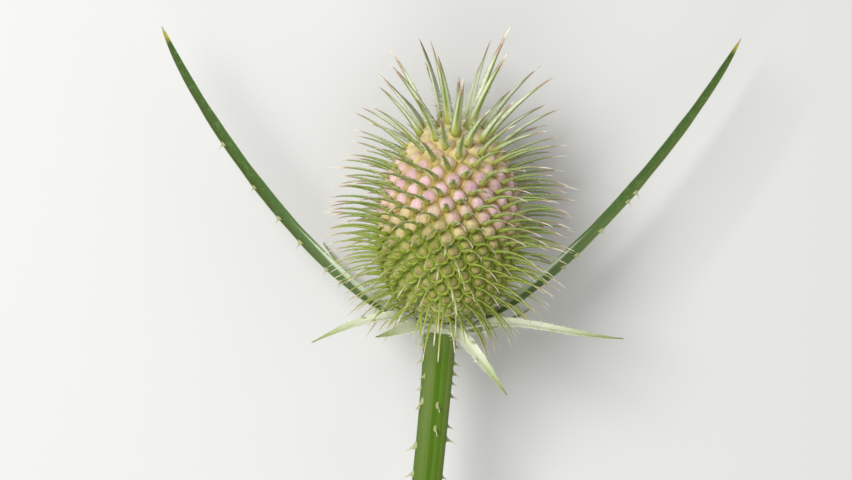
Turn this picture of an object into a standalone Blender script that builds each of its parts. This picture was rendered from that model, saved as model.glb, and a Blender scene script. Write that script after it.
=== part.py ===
"""Teasel flower head, picked with a short stem and lying on its side on a flat surface.

The stem points along -Y, the flower head's top along +Y, and the surface is z = 0.
"""

import math

import bmesh
import bpy
import numpy as np
from mathutils import Matrix, Vector
from mathutils.kdtree import KDTree

MM = 0.001
SHARP_ANGLE = math.radians(35)  # edges sharper than this stay sharp when shaded

# The flower head: an egg whose long axis lies level, leaning a little to the right.
HEAD_CENTRE = Vector((-0.2, 11.9, 26.3)) * MM
HEAD_LEAN = math.radians(4.6)
HEAD_HALF_LENGTH = 23.9 * MM
HEAD_RADIUS = 16.4 * MM
HEAD_EGG = 0.12  # how much narrower the top half is than the lower half
BASE_LEVEL = -0.972  # the flat underside, as a share of the half length
BASE_CORNERS = 12
LEVEL_SAMPLES = 2000  # places along the head at which its surface is measured
CURVE_STEP = 1e-4  # step along a curve over which its direction is taken

# Florets: two opposite ones at each step, every pair turned on by half the golden angle.
FLORET_PAIRS = 186
FLORET_TURN = math.pi * (3 - math.sqrt(5)) / 2
FLORET_FIRST, FLORET_LAST = -0.94, 0.995  # levels of the lowest and highest pairs
FLORET_SPREAD = 0.28  # how much more room a floret has near the top than at mid height
FLORET_RELIEF = 0.30  # depth of the valley between two buds, over their distance
FLORET_WIDEST = 4.6 * MM

# The awn of each floret's bract, a spine that grows from the valley below its bud.
SPINE_LENGTH = 12.2 * MM
SPINE_GAIN = 0.12  # how much longer it is near the top than at mid height
SPINE_CROWN = 10.5 * MM  # extra length of the spines round the top
CROWN_LEVELS = (0.6, 0.96)  # between which that extra length comes in
YOUNG_LEVELS = (0.972, 0.992)  # between which the youngest spines, at the very top, get shorter
YOUNG_LOSS = 0.62  # share of their length that the youngest ones lack
SPINE_SAG = 0.075  # height of its arch, over its length
SAG_LOW, SAG_LOSS = 1.25, 0.75  # that arch at mid height, and what it loses up to the top
SPINE_DROOP = math.radians(14)  # how far the spines of the upper flank hang below square
DROOP_LEVEL, DROOP_SPREAD = 0.5, 0.35  # where they do so most, and how far up and down from it
SPINE_BELOW = 1.9 * MM  # from a bud's tip down to its spine
SPINE_SUNK = 0.9 * MM
SPINE_RINGS = ((0.13, 0.46 * MM), (0.55, 0.27 * MM))  # place along it, radius
SPINE_ROOM = (0.7 * MM, 0.6 * MM, 0.42 * MM, 0.16 * MM)  # kept free round it, root to tip
SPINE_GAP = 0.12 * MM  # more that is kept free between it and a bract
SPINE_JITTER = (0.12, 0.07, 0.07)  # of its length, its rise and its turn
JITTER_LEVELS = (0.3, 0.7)  # between which its length's draw grows from half to all
SPINE_SEED = 52
SPINE_SAMPLES = 25
SPINE_FREE = 0.07  # share of its length within the head, where it may be close to others
SPINE_ELBOW = 0.4  # share of its length over which a bend comes in
BENDS_UP = np.radians(np.arange(-48, 61, 6))
BENDS_ASIDE = np.radians(np.arange(-54, 55, 6))
ASIDE_WEIGHT = 0.8  # of a bend aside, over one up or down, when the least bend is sought

# Involucral bracts: the leaves that stand out below the flower head.
BLADE_THICKNESS = 0.6 * MM
BRACT_ROOT_RADIUS = 4.4 * MM
BRACT_ROOT_LEVEL = -24.5 * MM
BRACT_ROOT_SHARE = 0.55  # the blade's width at its root, over its full width
BRACT_TIP = 0.2 * MM
BRACT_WIDENS = 0.16  # share of its length over which it widens from its root
BRACT_TURNS = 0.3  # share of its length over which it turns to its facing
BRACT_FOLDS = 0.35  # share of its length over which its channel comes in
BRACT_SAMPLES = 90
BRACT_REACH = 1.2 * MM  # how far along a bract a sample of it stands for
# How a blade narrows: its width falls as (1 - t^first)^second from its root to its tip.
LONG_TAPER = (3.2, 0.5)
SHORT_TAPER = (2.2, 0.75)
# Turn round the stem, three points that its curve is drawn to, half width, channel depth,
# the way its upper face looks, and how many cells long and wide its blade is.
BRACTS = {
    "bract_long_left": (-104, (-26.6, -6.6, 23.8), (-56.6, 34.0, 20.8), (-65.4, 55.7, 18.8),
                        1.53, 0.5, (0.15, 0.17, 0.9), 18, 4),
    "bract_long_right": (100, (23.1, -6.1, 23.8), (54.9, 32.1, 20.8), (66.1, 52.9, 18.8),
                         1.45, 0.5, (-0.15, 0.15, 0.9), 18, 4),
    "bract_left": (-72, (-11.4, -7.8, 29.2), (-20.5, -10.6, 31.0), (-30.6, -15.4, 31.0),
                   1.6, 0.45, (0.1, 0.8, 0.6), 9, 2),
    "bract_right": (62, (12.0, -8.6, 31.0), (24.0, -13.9, 33.0), (38.3, -14.6, 33.0),
                    1.45, 0.45, (0.0, 0.75, 0.65), 10, 2),
    "bract_front_left": (-38, (-7.0, -11.0, 34.8), (-11.0, -12.9, 40.5), (-16.2, -13.8, 45.0),
                         1.6, 0.4, (0.5, 0.65, 0.55), 8, 2),
    "bract_front_right": (22, (1.4, -11.6, 36.0), (6.0, -18.3, 40.5), (12.2, -26.4, 42.0),
                          1.75, 0.4, (0.2, 0.5, 0.85), 8, 2),
    "bract_back_left": (-145, (-12.0, -12.5, 13.0), (-21.5, -5.0, 4.0), (-29.3, 6.4, 0.5),
                        1.5, 0.4, (0.3, 0.75, 0.55), 9, 2),
    "bract_back_right": (142, (5.2, -15.2, 14.0), (12.0, -13.0, 4.5), (18.6, -9.0, 0.5),
                         1.5, 0.4, (-0.2, 0.75, 0.6), 8, 2),
}

# The stem: its middle line, from the flower head to the cut, and its ribbed section, with a
# broad groove on its upper side. Turns round it count from there to its left.
STEM_POINTS = ((-2.7, -21.6, 26.3), (-4.3, -40.0, 26.2), (-6.3, -56.3, 26.1))
STEM_RADIUS = 3.4 * MM
STEM_FLARE = 0.45 * MM  # how much wider it is right under the flower head
STEM_GAP = 0.3 * MM
FLARE_POWER = 3  # how fast it narrows from that flare
STEM_RIBS = 4
STEM_RIB_TURN = math.radians(33)
STEM_RIB_HEIGHT = 0.28 * MM
STEM_RIB_START = 0.05  # share of its length over which its ribs come in
RIB_SIDES = 6  # sides of the section to each rib
STEM_CELLS = 11  # cells along it
STEM_BUNCHING = 1.5  # power by which the cells get shorter towards the flower head

# Prickles on the stem and on the outer edges of the two long bracts.
PRICKLE_LENGTH = 1.75 * MM
PRICKLE_RADIUS = 0.42 * MM
PRICKLE_SUNK = 0.35 * MM
PRICKLE_SLANT = math.radians(24)  # how far a stem prickle points back down the stem
# Degrees round the stem, and the places of its prickles along it there.
STEM_PRICKLES = {
    150: (0.27, 0.41, 0.56, 0.72, 0.88),
    90: (0.145, 0.235, 0.385, 0.48, 0.66, 0.785, 0.92),
    50: (0.32, 0.45),
    -12: (0.46, 0.57),
    -90: (0.145, 0.24, 0.295, 0.345, 0.41, 0.555, 0.615, 0.785, 0.91),
    -150: (0.31, 0.46, 0.6, 0.77, 0.9),
}
# Places of the prickles along each long bract.
EDGE_PRICKLES = {
    "bract_long_left": (0.265, 0.31, 0.395, 0.465, 0.55, 0.665),
    "bract_long_right": (0.27, 0.325, 0.365, 0.44, 0.525, 0.55),
}
EDGE_ACROSS = 0.85  # how far from its middle they stand, over its half width
EDGE_BACK, EDGE_DOWN = 0.15, 0.25  # how far they point back to its root, and under it

# Colour, roughness.
LEAF_GREEN = ((0.17, 0.30, 0.07), 0.5)
PALE_GREEN = ((0.45, 0.56, 0.34), 0.55)
HEAD_GREEN = ((0.42, 0.47, 0.13), 0.6)
STEM_GREEN = ((0.20, 0.32, 0.08), 0.5)


def clear_scene():
    for obj in list(bpy.data.objects):
        bpy.data.objects.remove(obj)


def plant_material(name, colour, roughness):
    """A plain Principled finish for one kind of tissue."""
    material = bpy.data.materials.new(name)
    material.use_nodes = True
    shader = material.node_tree.nodes["Principled BSDF"]
    shader.inputs["Base Color"].default_value = (*colour, 1)
    shader.inputs["Roughness"].default_value = roughness
    shader.inputs["Metallic"].default_value = 0
    return material


def add_object(name, bm, material, collection):
    """Puts a finished bmesh into the scene as one shaded object."""
    mesh = bpy.data.meshes.new(name)
    bm.to_mesh(mesh)
    bm.free()
    mesh.materials.append(material)
    mesh.shade_smooth()
    mesh.set_sharp_from_angle(angle=SHARP_ANGLE)
    obj = bpy.data.objects.new(name, mesh)
    collection.objects.link(obj)
    return obj


def apply_modifiers(obj):
    """Turns what the modifiers show into the object's own mesh."""
    graph = bpy.context.evaluated_depsgraph_get()
    mesh = bpy.data.meshes.new_from_object(obj.evaluated_get(graph))
    obj.modifiers.clear()
    obj.data = mesh


def smooth_share(values):
    """Values held between 0 and 1, eased at both ends."""
    held = np.clip(values, 0, 1)
    return held * held * (3 - 2 * held)


# The head's frame

AXIS = np.array((math.sin(HEAD_LEAN), math.cos(HEAD_LEAN), 0.0))
RIGHT = np.array((math.cos(HEAD_LEAN), -math.sin(HEAD_LEAN), 0.0))
FRONT = np.array((0.0, 0.0, 1.0))


def outward(turn):
    """Unit direction square to the head's axis; turn 0 is the upper side, +90 degrees the right."""
    return np.multiply.outer(np.sin(turn), RIGHT) + np.multiply.outer(np.cos(turn), FRONT)


def egg_radius(level):
    return HEAD_RADIUS * math.sqrt(1 - level * level) * (1 - HEAD_EGG * level)


def egg_point(turn, level):
    """A point of the egg; level runs from -1 at its bottom to 1 at its top."""
    return np.array(HEAD_CENTRE) + AXIS * HEAD_HALF_LENGTH * level + outward(turn) * egg_radius(level)


def floret_sites():
    """(turn, level) of every floret, lowest first.

    The pairs share out the egg's surface between the first and last level, each floret
    having a little more room towards the top.
    """
    levels = np.linspace(FLORET_FIRST, FLORET_LAST, LEVEL_SAMPLES)
    radii = HEAD_RADIUS * np.sqrt(1 - levels**2) * (1 - HEAD_EGG * levels)
    slant = np.hypot(np.gradient(radii, levels), HEAD_HALF_LENGTH)
    crowding = radii * slant / (1 + FLORET_SPREAD * levels)
    count = np.concatenate([[0], np.cumsum((crowding[1:] + crowding[:-1]) / 2)])
    shares = (np.arange(FLORET_PAIRS) + 0.5) / FLORET_PAIRS
    pair_levels = np.interp(shares * count[-1], count, levels)
    return [
        (step * FLORET_TURN + side * math.pi, level)
        for step, level in enumerate(pair_levels)
        for side in (0, 1)
    ]


# Bracts

def bezier(points, t):
    """Cubic curve through the first and last of four points, drawn towards the other two."""
    t = np.asarray(t, float)[:, None]
    p = np.asarray(points, float)
    return ((1 - t) ** 3 * p[0] + 3 * t * (1 - t) ** 2 * p[1]
            + 3 * t * t * (1 - t) * p[2] + t**3 * p[3])


def is_long(name):
    return name.startswith("bract_long")


def blade_half_width(name, t):
    """Half width along a bract: drawn in at its root, then down to a point."""
    *_, full, _, _, _, _ = BRACTS[name]
    root = BRACT_ROOT_SHARE + (1 - BRACT_ROOT_SHARE) * smooth_share(t / BRACT_WIDENS)
    first, second = LONG_TAPER if is_long(name) else SHORT_TAPER
    return np.maximum(full * MM * root * (1 - t**first) ** second, BRACT_TIP)


def blade_channel(name, t):
    """How high the blade's edges stand over its middle, over its half width."""
    *_, channel, _, _, _ = BRACTS[name]
    return channel * np.minimum(1, t / BRACT_FOLDS)


def blade_frame(name, t):
    """The middle line of a bract at t, with its unit side and upper-face directions."""
    turn, *drawn, _, _, facing, _, _ = BRACTS[name]
    root = (np.array(HEAD_CENTRE) + AXIS * BRACT_ROOT_LEVEL
            + outward(math.radians(turn)) * BRACT_ROOT_RADIUS)
    points = np.vstack([root, np.array(drawn) * MM])
    middle = bezier(points, t)
    along = bezier(points, t + CURVE_STEP) - bezier(points, t - CURVE_STEP)
    along /= np.linalg.norm(along, axis=1)[:, None]
    # Near its root the blade hugs the underside of the head, further out it turns to its facing.
    twist = np.clip(t / BRACT_TURNS, 0, 1)[:, None]
    looks = AXIS * (1 - twist) + np.array(facing) * twist
    up = looks - along * (looks * along).sum(1)[:, None]
    up /= np.linalg.norm(up, axis=1)[:, None]
    return middle, np.cross(along, up), up


def blade_surface(name, t, across):
    """Points of a bract's middle sheet; across runs from -1 to 1 over its width."""
    middle, side, up = blade_frame(name, t)
    half = blade_half_width(name, t)[:, None]
    fold = blade_channel(name, t)[:, None] * across[:, None] ** 2
    return middle + half * (across[:, None] * side + fold * up), up


def bract_blade(name, material, collection):
    """A channelled blade swept along its curve, drawn out evenly through its thickness."""
    *_, cells_long, cells_wide = BRACTS[name]
    bm = bmesh.new()
    bmesh.ops.create_grid(bm, x_segments=cells_long, y_segments=cells_wide, size=1)
    t = np.array([(v.co.x + 1) / 2 for v in bm.verts])
    across = np.array([v.co.y for v in bm.verts])
    places, ups = blade_surface(name, t, across)
    for vert, place, up in zip(bm.verts, places, ups):
        vert.co = place - up * BLADE_THICKNESS / 2
    bmesh.ops.triangulate(bm, faces=bm.faces)
    lower = [vert.co.copy() for vert in bm.verts]
    drawn = bmesh.ops.extrude_face_region(bm, geom=bm.faces)["geom"]
    drawn = [part for part in drawn if isinstance(part, bmesh.types.BMVert)]
    tree = KDTree(len(lower))
    for number, place in enumerate(lower):
        tree.insert(place, number)
    tree.balance()
    for vert in drawn:
        vert.co += Vector(ups[tree.find(vert.co)[1]]) * BLADE_THICKNESS
    bmesh.ops.recalc_face_normals(bm, faces=bm.faces)
    return add_object(name, bm, material, collection)


def edge_prickles(name):
    """(root, direction) of the prickles along the outer edge of a long bract."""
    t = np.array(EDGE_PRICKLES[name])
    outer = math.copysign(1, BRACTS[name][0])
    places, up = blade_surface(name, t, np.full(len(t), outer * EDGE_ACROSS))
    _, side, _ = blade_frame(name, t)
    ways = outer * side - EDGE_BACK * np.cross(up, side) - EDGE_DOWN * up
    return [(Vector(place), Vector(way).normalized()) for place, way in zip(places, ways)]


# Spines

def normal_rise(level):
    """Angle of the egg's normal above square to the axis."""
    return math.atan2(HEAD_RADIUS * level, HEAD_HALF_LENGTH * math.sqrt(1 - level * level))


def press_on_surface(line):
    """Spines under the flower head bend until their tips lie on the surface."""
    lowest = line[:, 2].min()
    if lowest >= 0:
        return line
    root = line[0, 2]
    pressed = line.copy()
    pressed[:, 2] = root + (line[:, 2] - root) * root / (root - lowest)
    return pressed


def spine_line(turn, level, draws, bend, t):
    """One spine from its sunk root to its tip.

    draws are its own share of extra length, rise and turn; bend is how far its outer part
    gives way, up and aside.
    """
    stretch, lift, veer = draws
    root_level = max(level - SPINE_BELOW * egg_radius(level) / HEAD_RADIUS / HEAD_HALF_LENGTH,
                     BASE_LEVEL)
    square = normal_rise(root_level)
    root = egg_point(turn, root_level)
    root = root - (outward(turn) * math.cos(square) + AXIS * math.sin(square)) * SPINE_SUNK
    giving = smooth_share(t / SPINE_ELBOW)
    droop = SPINE_DROOP * math.exp(-(((level - DROOP_LEVEL) / DROOP_SPREAD) ** 2))
    rise = (normal_rise(level) - droop + lift + giving * bend[0])[:, None]
    out = outward(turn + veer + giving * bend[1])
    way = out * np.cos(rise) + AXIS * np.sin(rise)
    arch = AXIS * np.cos(rise) - out * np.sin(rise)
    crown = np.interp(level, CROWN_LEVELS, (0, 1)) ** 3
    young = 1 - YOUNG_LOSS * np.interp(level, YOUNG_LEVELS, (0, 1))
    length = (SPINE_LENGTH * (1 + SPINE_GAIN * level) + SPINE_CROWN * crown) * young
    length *= 1 + stretch * np.interp(level, JITTER_LEVELS, (0.5, 1))
    length += SPINE_SUNK
    sag = SPINE_SAG * (SAG_LOW - SAG_LOSS * max(level, 0))
    return root + length * (t[:, None] * way + (4 * t * (1 - t))[:, None] * sag * arch)


def bract_strips():
    """Places along every bract: its middle, side and upper-face directions, half width, fold."""
    t = np.linspace(0, 1, BRACT_SAMPLES)
    strips = []
    for name in BRACTS:
        half = blade_half_width(name, t)
        strips.append((*blade_frame(name, t), half, half * blade_channel(name, t)))
    return strips


def meets_bract(line, thick, strips):
    """Whether a spine comes into the room of a bract's blade."""
    for middle, side, up, half, fold in strips:
        gap = line[:, None, :] - middle[None]
        nearest = np.linalg.norm(gap, axis=2).argmin(axis=1)
        gap = gap[np.arange(len(line)), nearest]
        beside = abs((gap * side[nearest]).sum(1))
        above = (gap * up[nearest]).sum(1)
        beyond = (gap * np.cross(side[nearest], up[nearest])).sum(1)
        inside = (beside < half[nearest] + thick) & (abs(beyond) < BRACT_REACH + thick)
        inside &= above > -BLADE_THICKNESS / 2 - thick
        inside &= above < BLADE_THICKNESS / 2 + thick + fold[nearest]
        if inside.any():
            return True
    return False


def meets_stem(line, thick):
    """Whether a spine comes into the room of the stem's top."""
    gap = line - np.array(HEAD_CENTRE)
    height = gap @ AXIS
    radius = np.linalg.norm(gap - height[:, None] * AXIS, axis=1)
    low = height < BASE_LEVEL * HEAD_HALF_LENGTH + thick
    return (low & (radius < STEM_RADIUS + STEM_FLARE + STEM_GAP + thick)).any()


def meets_spine(line, thick, placed, placed_thick):
    """Whether a spine comes too close to those that stand already."""
    gap = np.linalg.norm(line[:, None, :] - placed[None], axis=2)
    return (gap < thick[:, None] + placed_thick[None]).any()


def spine_lines(sites, t):
    """Middle lines of the spines at t, root to tip, or None where nothing leaves room for one.

    A spine that would meet a bract, the stem or another spine is bent a little further, up
    or down and to either side, until it stands free.
    """
    draw = np.random.default_rng(SPINE_SEED)
    fine = np.linspace(0, 1, SPINE_SAMPLES)
    outer = fine > SPINE_FREE
    (low_ring, _), (high_ring, _) = SPINE_RINGS
    thick = np.interp(fine, (0, low_ring, high_ring, 1), SPINE_ROOM)[outer]
    bends = [(up, aside) for up in BENDS_UP for aside in BENDS_ASIDE]
    bends.sort(key=lambda bend: abs(bend[0]) + ASIDE_WEIGHT * abs(bend[1]))
    strips = bract_strips()
    placed = np.empty((0, len(thick), 3))
    lines = []
    for turn, level in sites:
        draws = draw.normal(0, SPINE_JITTER)
        lines.append(None)
        close = np.linalg.norm(placed[:, 0] - egg_point(turn, level), axis=1) < 2 * SPINE_LENGTH
        others = placed[close].reshape(-1, 3)
        room = np.tile(thick, close.sum())
        for bend in bends:
            line = press_on_surface(spine_line(turn, level, draws, bend, fine))
            free = line[outer]
            if (meets_bract(free, thick + SPINE_GAP, strips) or meets_stem(free, thick)
                    or meets_spine(free, thick, others, room)):
                continue
            placed = np.concatenate([placed, free[None]])
            lines[-1] = np.stack([np.interp(t, fine, line[:, axis]) for axis in range(3)], 1)
            break
    return lines


# The flower head

def nearest_corners(bm, places):
    """The bmesh corner that lies at each of the places."""
    tree = KDTree(len(bm.verts))
    for number, vert in enumerate(bm.verts):
        tree.insert(vert.co, number)
    tree.balance()
    bm.verts.ensure_lookup_table()
    return [bm.verts[tree.find(place)[1]] for place in places]


def bud_surface(bm, sites):
    """The egg as a net with a raised corner at each bud and sunk corners between them."""
    places = [Vector(egg_point(turn, level)) for turn, level in sites]
    ring = [egg_point(2 * math.pi * corner / BASE_CORNERS, BASE_LEVEL)
            for corner in range(BASE_CORNERS)]
    for place in places:
        bm.verts.new(place)
    base = {bm.verts.new(place) for place in ring}
    bmesh.ops.convex_hull(bm, input=bm.verts)
    bmesh.ops.recalc_face_normals(bm, faces=bm.faces)
    middles = []
    depths = []
    for edge in bm.edges:
        first, second = edge.verts
        if first not in base or second not in base:
            middles.append((first.co + second.co) / 2)
            depth = min(edge.calc_length(), FLORET_WIDEST) * FLORET_RELIEF
            depths.append(-(first.normal + second.normal).normalized() * depth)
    bmesh.ops.subdivide_edges(bm, edges=bm.edges, cuts=1, use_grid_fill=True)
    buds = nearest_corners(bm, places)
    for vert, depth in zip(nearest_corners(bm, middles), depths):
        vert.co += depth
    return buds


def valley_below(bud, root, used):
    """The free face between buds next to this one that lies nearest to its spine's root."""
    faces = []
    for face in bud.link_faces:
        for edge in face.edges:
            if bud not in edge.verts:
                faces += [other for other in edge.link_faces if other is not face]
    faces = [face for face in faces if face not in used]
    return min(faces, key=lambda face: (face.calc_center_median() - root).length, default=None)


def grow_spine(bm, face, line):
    """Draws a valley face out along a line into a three-sided spine."""
    centre = face.calc_center_median()
    spokes = [vert.co - centre for vert in face.verts]
    way = (Vector(line[-1]) - Vector(line[0])).normalized()
    spokes = [(spoke - way * spoke.dot(way)).normalized() for spoke in spokes]
    for place, (_, radius) in zip(line[1:-1], SPINE_RINGS):
        face = bmesh.ops.extrude_discrete_faces(bm, faces=[face])["faces"][0]
        for vert, spoke in zip(face.verts, spokes):
            vert.co = Vector(place) + spoke * radius
    face = bmesh.ops.extrude_discrete_faces(bm, faces=[face])["faces"][0]
    bmesh.ops.pointmerge(bm, verts=list(face.verts), merge_co=Vector(line[-1]))


def flower_head(material, collection):
    """Core, buds and spines as one body, every spine drawn out of the surface between the buds."""
    sites = floret_sites()
    t = np.array([0] + [place for place, _ in SPINE_RINGS] + [1.0])
    lines = spine_lines(sites, t)
    bm = bmesh.new()
    buds = bud_surface(bm, sites)
    used = set()
    growing = []
    for bud, line in zip(buds, lines):
        if line is None:
            continue
        face = valley_below(bud, Vector(line[0]), used)
        if face is not None:
            used.add(face)
            growing.append((face, line))
    for face, line in growing:
        grow_spine(bm, face, line)
    bmesh.ops.recalc_face_normals(bm, faces=bm.faces)
    return add_object("flower_head", bm, material, collection)


# The stem

def stem_line(t):
    """Middle line of the stem from under the flower head, at 0, to the cut, at 1."""
    top = np.array(HEAD_CENTRE) + AXIS * (BASE_LEVEL * HEAD_HALF_LENGTH - STEM_GAP)
    points = np.vstack([top, np.array(STEM_POINTS) * MM])
    return bezier(points, t)


def stem_frame(t):
    """Middle of the stem at t, with two unit directions square to it and the one along it."""
    along = stem_line(t + CURVE_STEP) - stem_line(t - CURVE_STEP)
    along /= np.linalg.norm(along, axis=1)[:, None]
    side = np.cross(along, FRONT)
    side /= np.linalg.norm(side, axis=1)[:, None]
    return stem_line(t), side, np.cross(side, along), along


def stem_radius(t, turn):
    """Ribbed section, widest right under the flower head."""
    ribs = np.cos(STEM_RIBS * (turn - STEM_RIB_TURN)) * np.clip(t / STEM_RIB_START, 0, 1)
    return STEM_RADIUS + STEM_FLARE * (1 - t) ** FLARE_POWER + STEM_RIB_HEIGHT * ribs


def stem_point(t, turn):
    middle, side, front, _ = stem_frame(t)
    radius = stem_radius(t, turn)[:, None]
    return middle + radius * (np.sin(turn)[:, None] * side + np.cos(turn)[:, None] * front)


def stem_prickles():
    """(root, direction) of the stem's prickles, each slanting back down the stem."""
    found = []
    for side, places in STEM_PRICKLES.items():
        t = np.array(places)
        middle, _, _, along = stem_frame(t)
        root = stem_point(t, np.full(len(places), math.radians(side)))
        out = root - middle
        out /= np.linalg.norm(out, axis=1)[:, None]
        way = out * math.cos(PRICKLE_SLANT) + along * math.sin(PRICKLE_SLANT)
        found += [(Vector(place), Vector(line)) for place, line in zip(root, way)]
    return found


def stem_body(material, collection):
    """A cylinder drawn out along the stem's line, with its ribs and its cut end."""
    bm = bmesh.new()
    bmesh.ops.create_cone(bm, cap_ends=True, segments=RIB_SIDES * STEM_RIBS,
                          radius1=1, radius2=1, depth=1)
    uprights = [e for e in bm.edges if abs(e.verts[0].co.z - e.verts[1].co.z) > 0.5]
    bmesh.ops.subdivide_edges(bm, edges=uprights, cuts=STEM_CELLS - 1, use_grid_fill=True)
    level = np.array([0.5 - v.co.z for v in bm.verts])
    # The cells bunch up under the flower head, where the stem flares.
    t = level ** STEM_BUNCHING
    turn = np.array([math.atan2(v.co.x, v.co.y) for v in bm.verts])
    for vert, place in zip(bm.verts, stem_point(t, turn)):
        vert.co = place
    bmesh.ops.recalc_face_normals(bm, faces=bm.faces)
    return add_object("stem", bm, material, collection)


def add_prickles(body, roots):
    """Joins small three-sided thorns to a body with one union."""
    thorns = bpy.data.collections.new("thorns")
    bpy.context.scene.collection.children.link(thorns)
    for root, way in roots:
        bm = bmesh.new()
        bmesh.ops.create_cone(bm, cap_ends=True, segments=3, radius1=PRICKLE_RADIUS, radius2=0,
                              depth=PRICKLE_LENGTH + PRICKLE_SUNK)
        middle = root + way * (PRICKLE_LENGTH - PRICKLE_SUNK) / 2
        turned = way.to_track_quat("Z", "Y").to_matrix().to_4x4()
        bm.transform(Matrix.Translation(middle) @ turned)
        add_object("thorn", bm, body.data.materials[0], thorns)
    union = body.modifiers.new("prickles", "BOOLEAN")
    union.operation = "UNION"
    union.operand_type = "COLLECTION"
    union.collection = thorns
    union.solver = "MANIFOLD"
    bpy.context.view_layer.update()
    apply_modifiers(body)
    for thorn in list(thorns.objects):
        bpy.data.objects.remove(thorn)
    bpy.data.collections.remove(thorns)


def main():
    clear_scene()
    teasel = bpy.data.collections.new("teasel")
    bpy.context.scene.collection.children.link(teasel)
    leaf = plant_material("long_bract_green", *LEAF_GREEN)
    pale = plant_material("short_bract_green", *PALE_GREEN)
    flower_head(plant_material("head_green", *HEAD_GREEN), teasel)
    stem = stem_body(plant_material("stem_green", *STEM_GREEN), teasel)
    add_prickles(stem, stem_prickles())
    for name in BRACTS:
        blade = bract_blade(name, leaf if is_long(name) else pale, teasel)
        if is_long(name):
            add_prickles(blade, edge_prickles(name))


main()
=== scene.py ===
"""Finer pieces and finishes for the teasel flower head, with its studio.

Every length is in metres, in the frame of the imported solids: the stem points along -Y, the
flower head's top along +Y, and it lies on the surface z = 0.
"""

import math

import bpy
import numpy as np
from bpy.props import FloatProperty, FloatVectorProperty, IntProperty, PointerProperty
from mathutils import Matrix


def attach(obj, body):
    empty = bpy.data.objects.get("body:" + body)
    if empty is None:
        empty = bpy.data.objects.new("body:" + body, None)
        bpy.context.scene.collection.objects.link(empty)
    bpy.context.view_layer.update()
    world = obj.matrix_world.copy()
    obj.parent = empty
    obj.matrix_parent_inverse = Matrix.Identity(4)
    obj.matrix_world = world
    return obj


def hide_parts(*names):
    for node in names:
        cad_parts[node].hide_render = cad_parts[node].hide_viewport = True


bl_info = {
    "name": "Teasel Flower Head",
    "version": (1, 0, 0),
    "blender": (4, 5, 0),
    "location": "3D View > Sidebar > Teasel",
    "description": "Builds the fine surfaces of a teasel flower head over its packed solids",
    "category": "Add Mesh",
}

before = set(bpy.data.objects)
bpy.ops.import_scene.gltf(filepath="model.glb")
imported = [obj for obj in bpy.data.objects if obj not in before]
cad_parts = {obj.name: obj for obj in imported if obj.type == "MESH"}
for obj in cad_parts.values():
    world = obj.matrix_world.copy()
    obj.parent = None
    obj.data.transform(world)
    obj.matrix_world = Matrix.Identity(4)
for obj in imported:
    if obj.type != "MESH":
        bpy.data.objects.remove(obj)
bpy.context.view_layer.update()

MM = 0.001

# The flower head: an egg whose long axis lies level, leaning a little to the right. HEAD_EGG
# is how much it narrows towards the top, BASE_LEVEL where the stem meets it.
HEAD_CENTRE = np.array((-0.2, 11.9, 26.3)) * MM
HEAD_LEAN = math.radians(4.6)
HEAD_HALF_LENGTH = 23.9 * MM
HEAD_RADIUS = 16.4 * MM
HEAD_EGG = 0.12
BASE_LEVEL = -0.972
AXIS = np.array((math.sin(HEAD_LEAN), math.cos(HEAD_LEAN), 0.0))
RIGHT = np.array((math.cos(HEAD_LEAN), -math.sin(HEAD_LEAN), 0.0))
FRONT = np.array((0.0, 0.0, 1.0))

# Florets, in opposite pairs. FLORET_SPREAD is how much more room they have towards the top.
FLORET_PAIRS = 186
FLORET_TURN = math.pi * (3 - math.sqrt(5)) / 2
FLORET_FIRST, FLORET_LAST = -0.94, 0.995
FLORET_SPREAD = 0.28
LEVEL_STEPS = 2000

# Spines: length on the flank and what the crown adds, arch over the length, how far they
# bow where the head is narrowing, root below its floret and under the surface, radius of
# the room that each takes, gap to the bracts, spread of the draws of length, rise and turn.
SPINE_LENGTH = 12.2 * MM
SPINE_CROWN = 10.5 * MM
SPINE_SAG = 0.075
SPINE_DROOP = math.radians(14)
SPINE_BELOW = 1.9 * MM
SPINE_SUNK = 0.9 * MM
SPINE_ROOM = (0.7 * MM, 0.6 * MM, 0.42 * MM, 0.16 * MM)
SPINE_GAP = 0.12 * MM
SPINE_JITTER = (0.12, 0.07, 0.07)
SPINE_SEED = 52
# How much longer they are at the top than at the middle, and the places along them over
# which a bend grows to its full angle.
LONGER_UP = 0.12
BEND_GROWS = (0, 0.4)
# Level where they droop most, and how far round it they do.
DROOP_LEVEL, DROOP_WIDTH = 0.5, 0.35
# Level from which those of the crown lengthen, and over how much of it; the same for the
# youngest, which are shorter by a share; and for the full draw of length, half below it.
CROWN_FROM, CROWN_OVER = 0.6, 0.36
YOUNG_FROM, YOUNG_OVER, YOUNG_LOSS = 0.972, 0.02, 0.62
DRAW_FROM, DRAW_OVER = 0.3, 0.4
# Arch at the middle and below over SPINE_SAG, and what it loses up to the top.
SAG_LOW, SAG_FALL = 1.25, 0.75
# Points along a spine's middle line, the share of it near its root that may touch others,
# and the places where each radius of SPINE_ROOM holds.
SPINE_POINTS = 25
SPINE_FREE = 0.07
SPINE_ROOM_PLACES = (0, 0.13, 0.55, 1)
# Degrees that a spine may be bent by, up and aside, what a degree aside counts for against
# one up, and the room kept past a bract's root and tip.
BENDS_UP = range(-48, 61, 6)
BENDS_ASIDE = range(-54, 55, 6)
ASIDE_COST = 0.8
BLADE_CLEAR = 1.2 * MM

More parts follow.
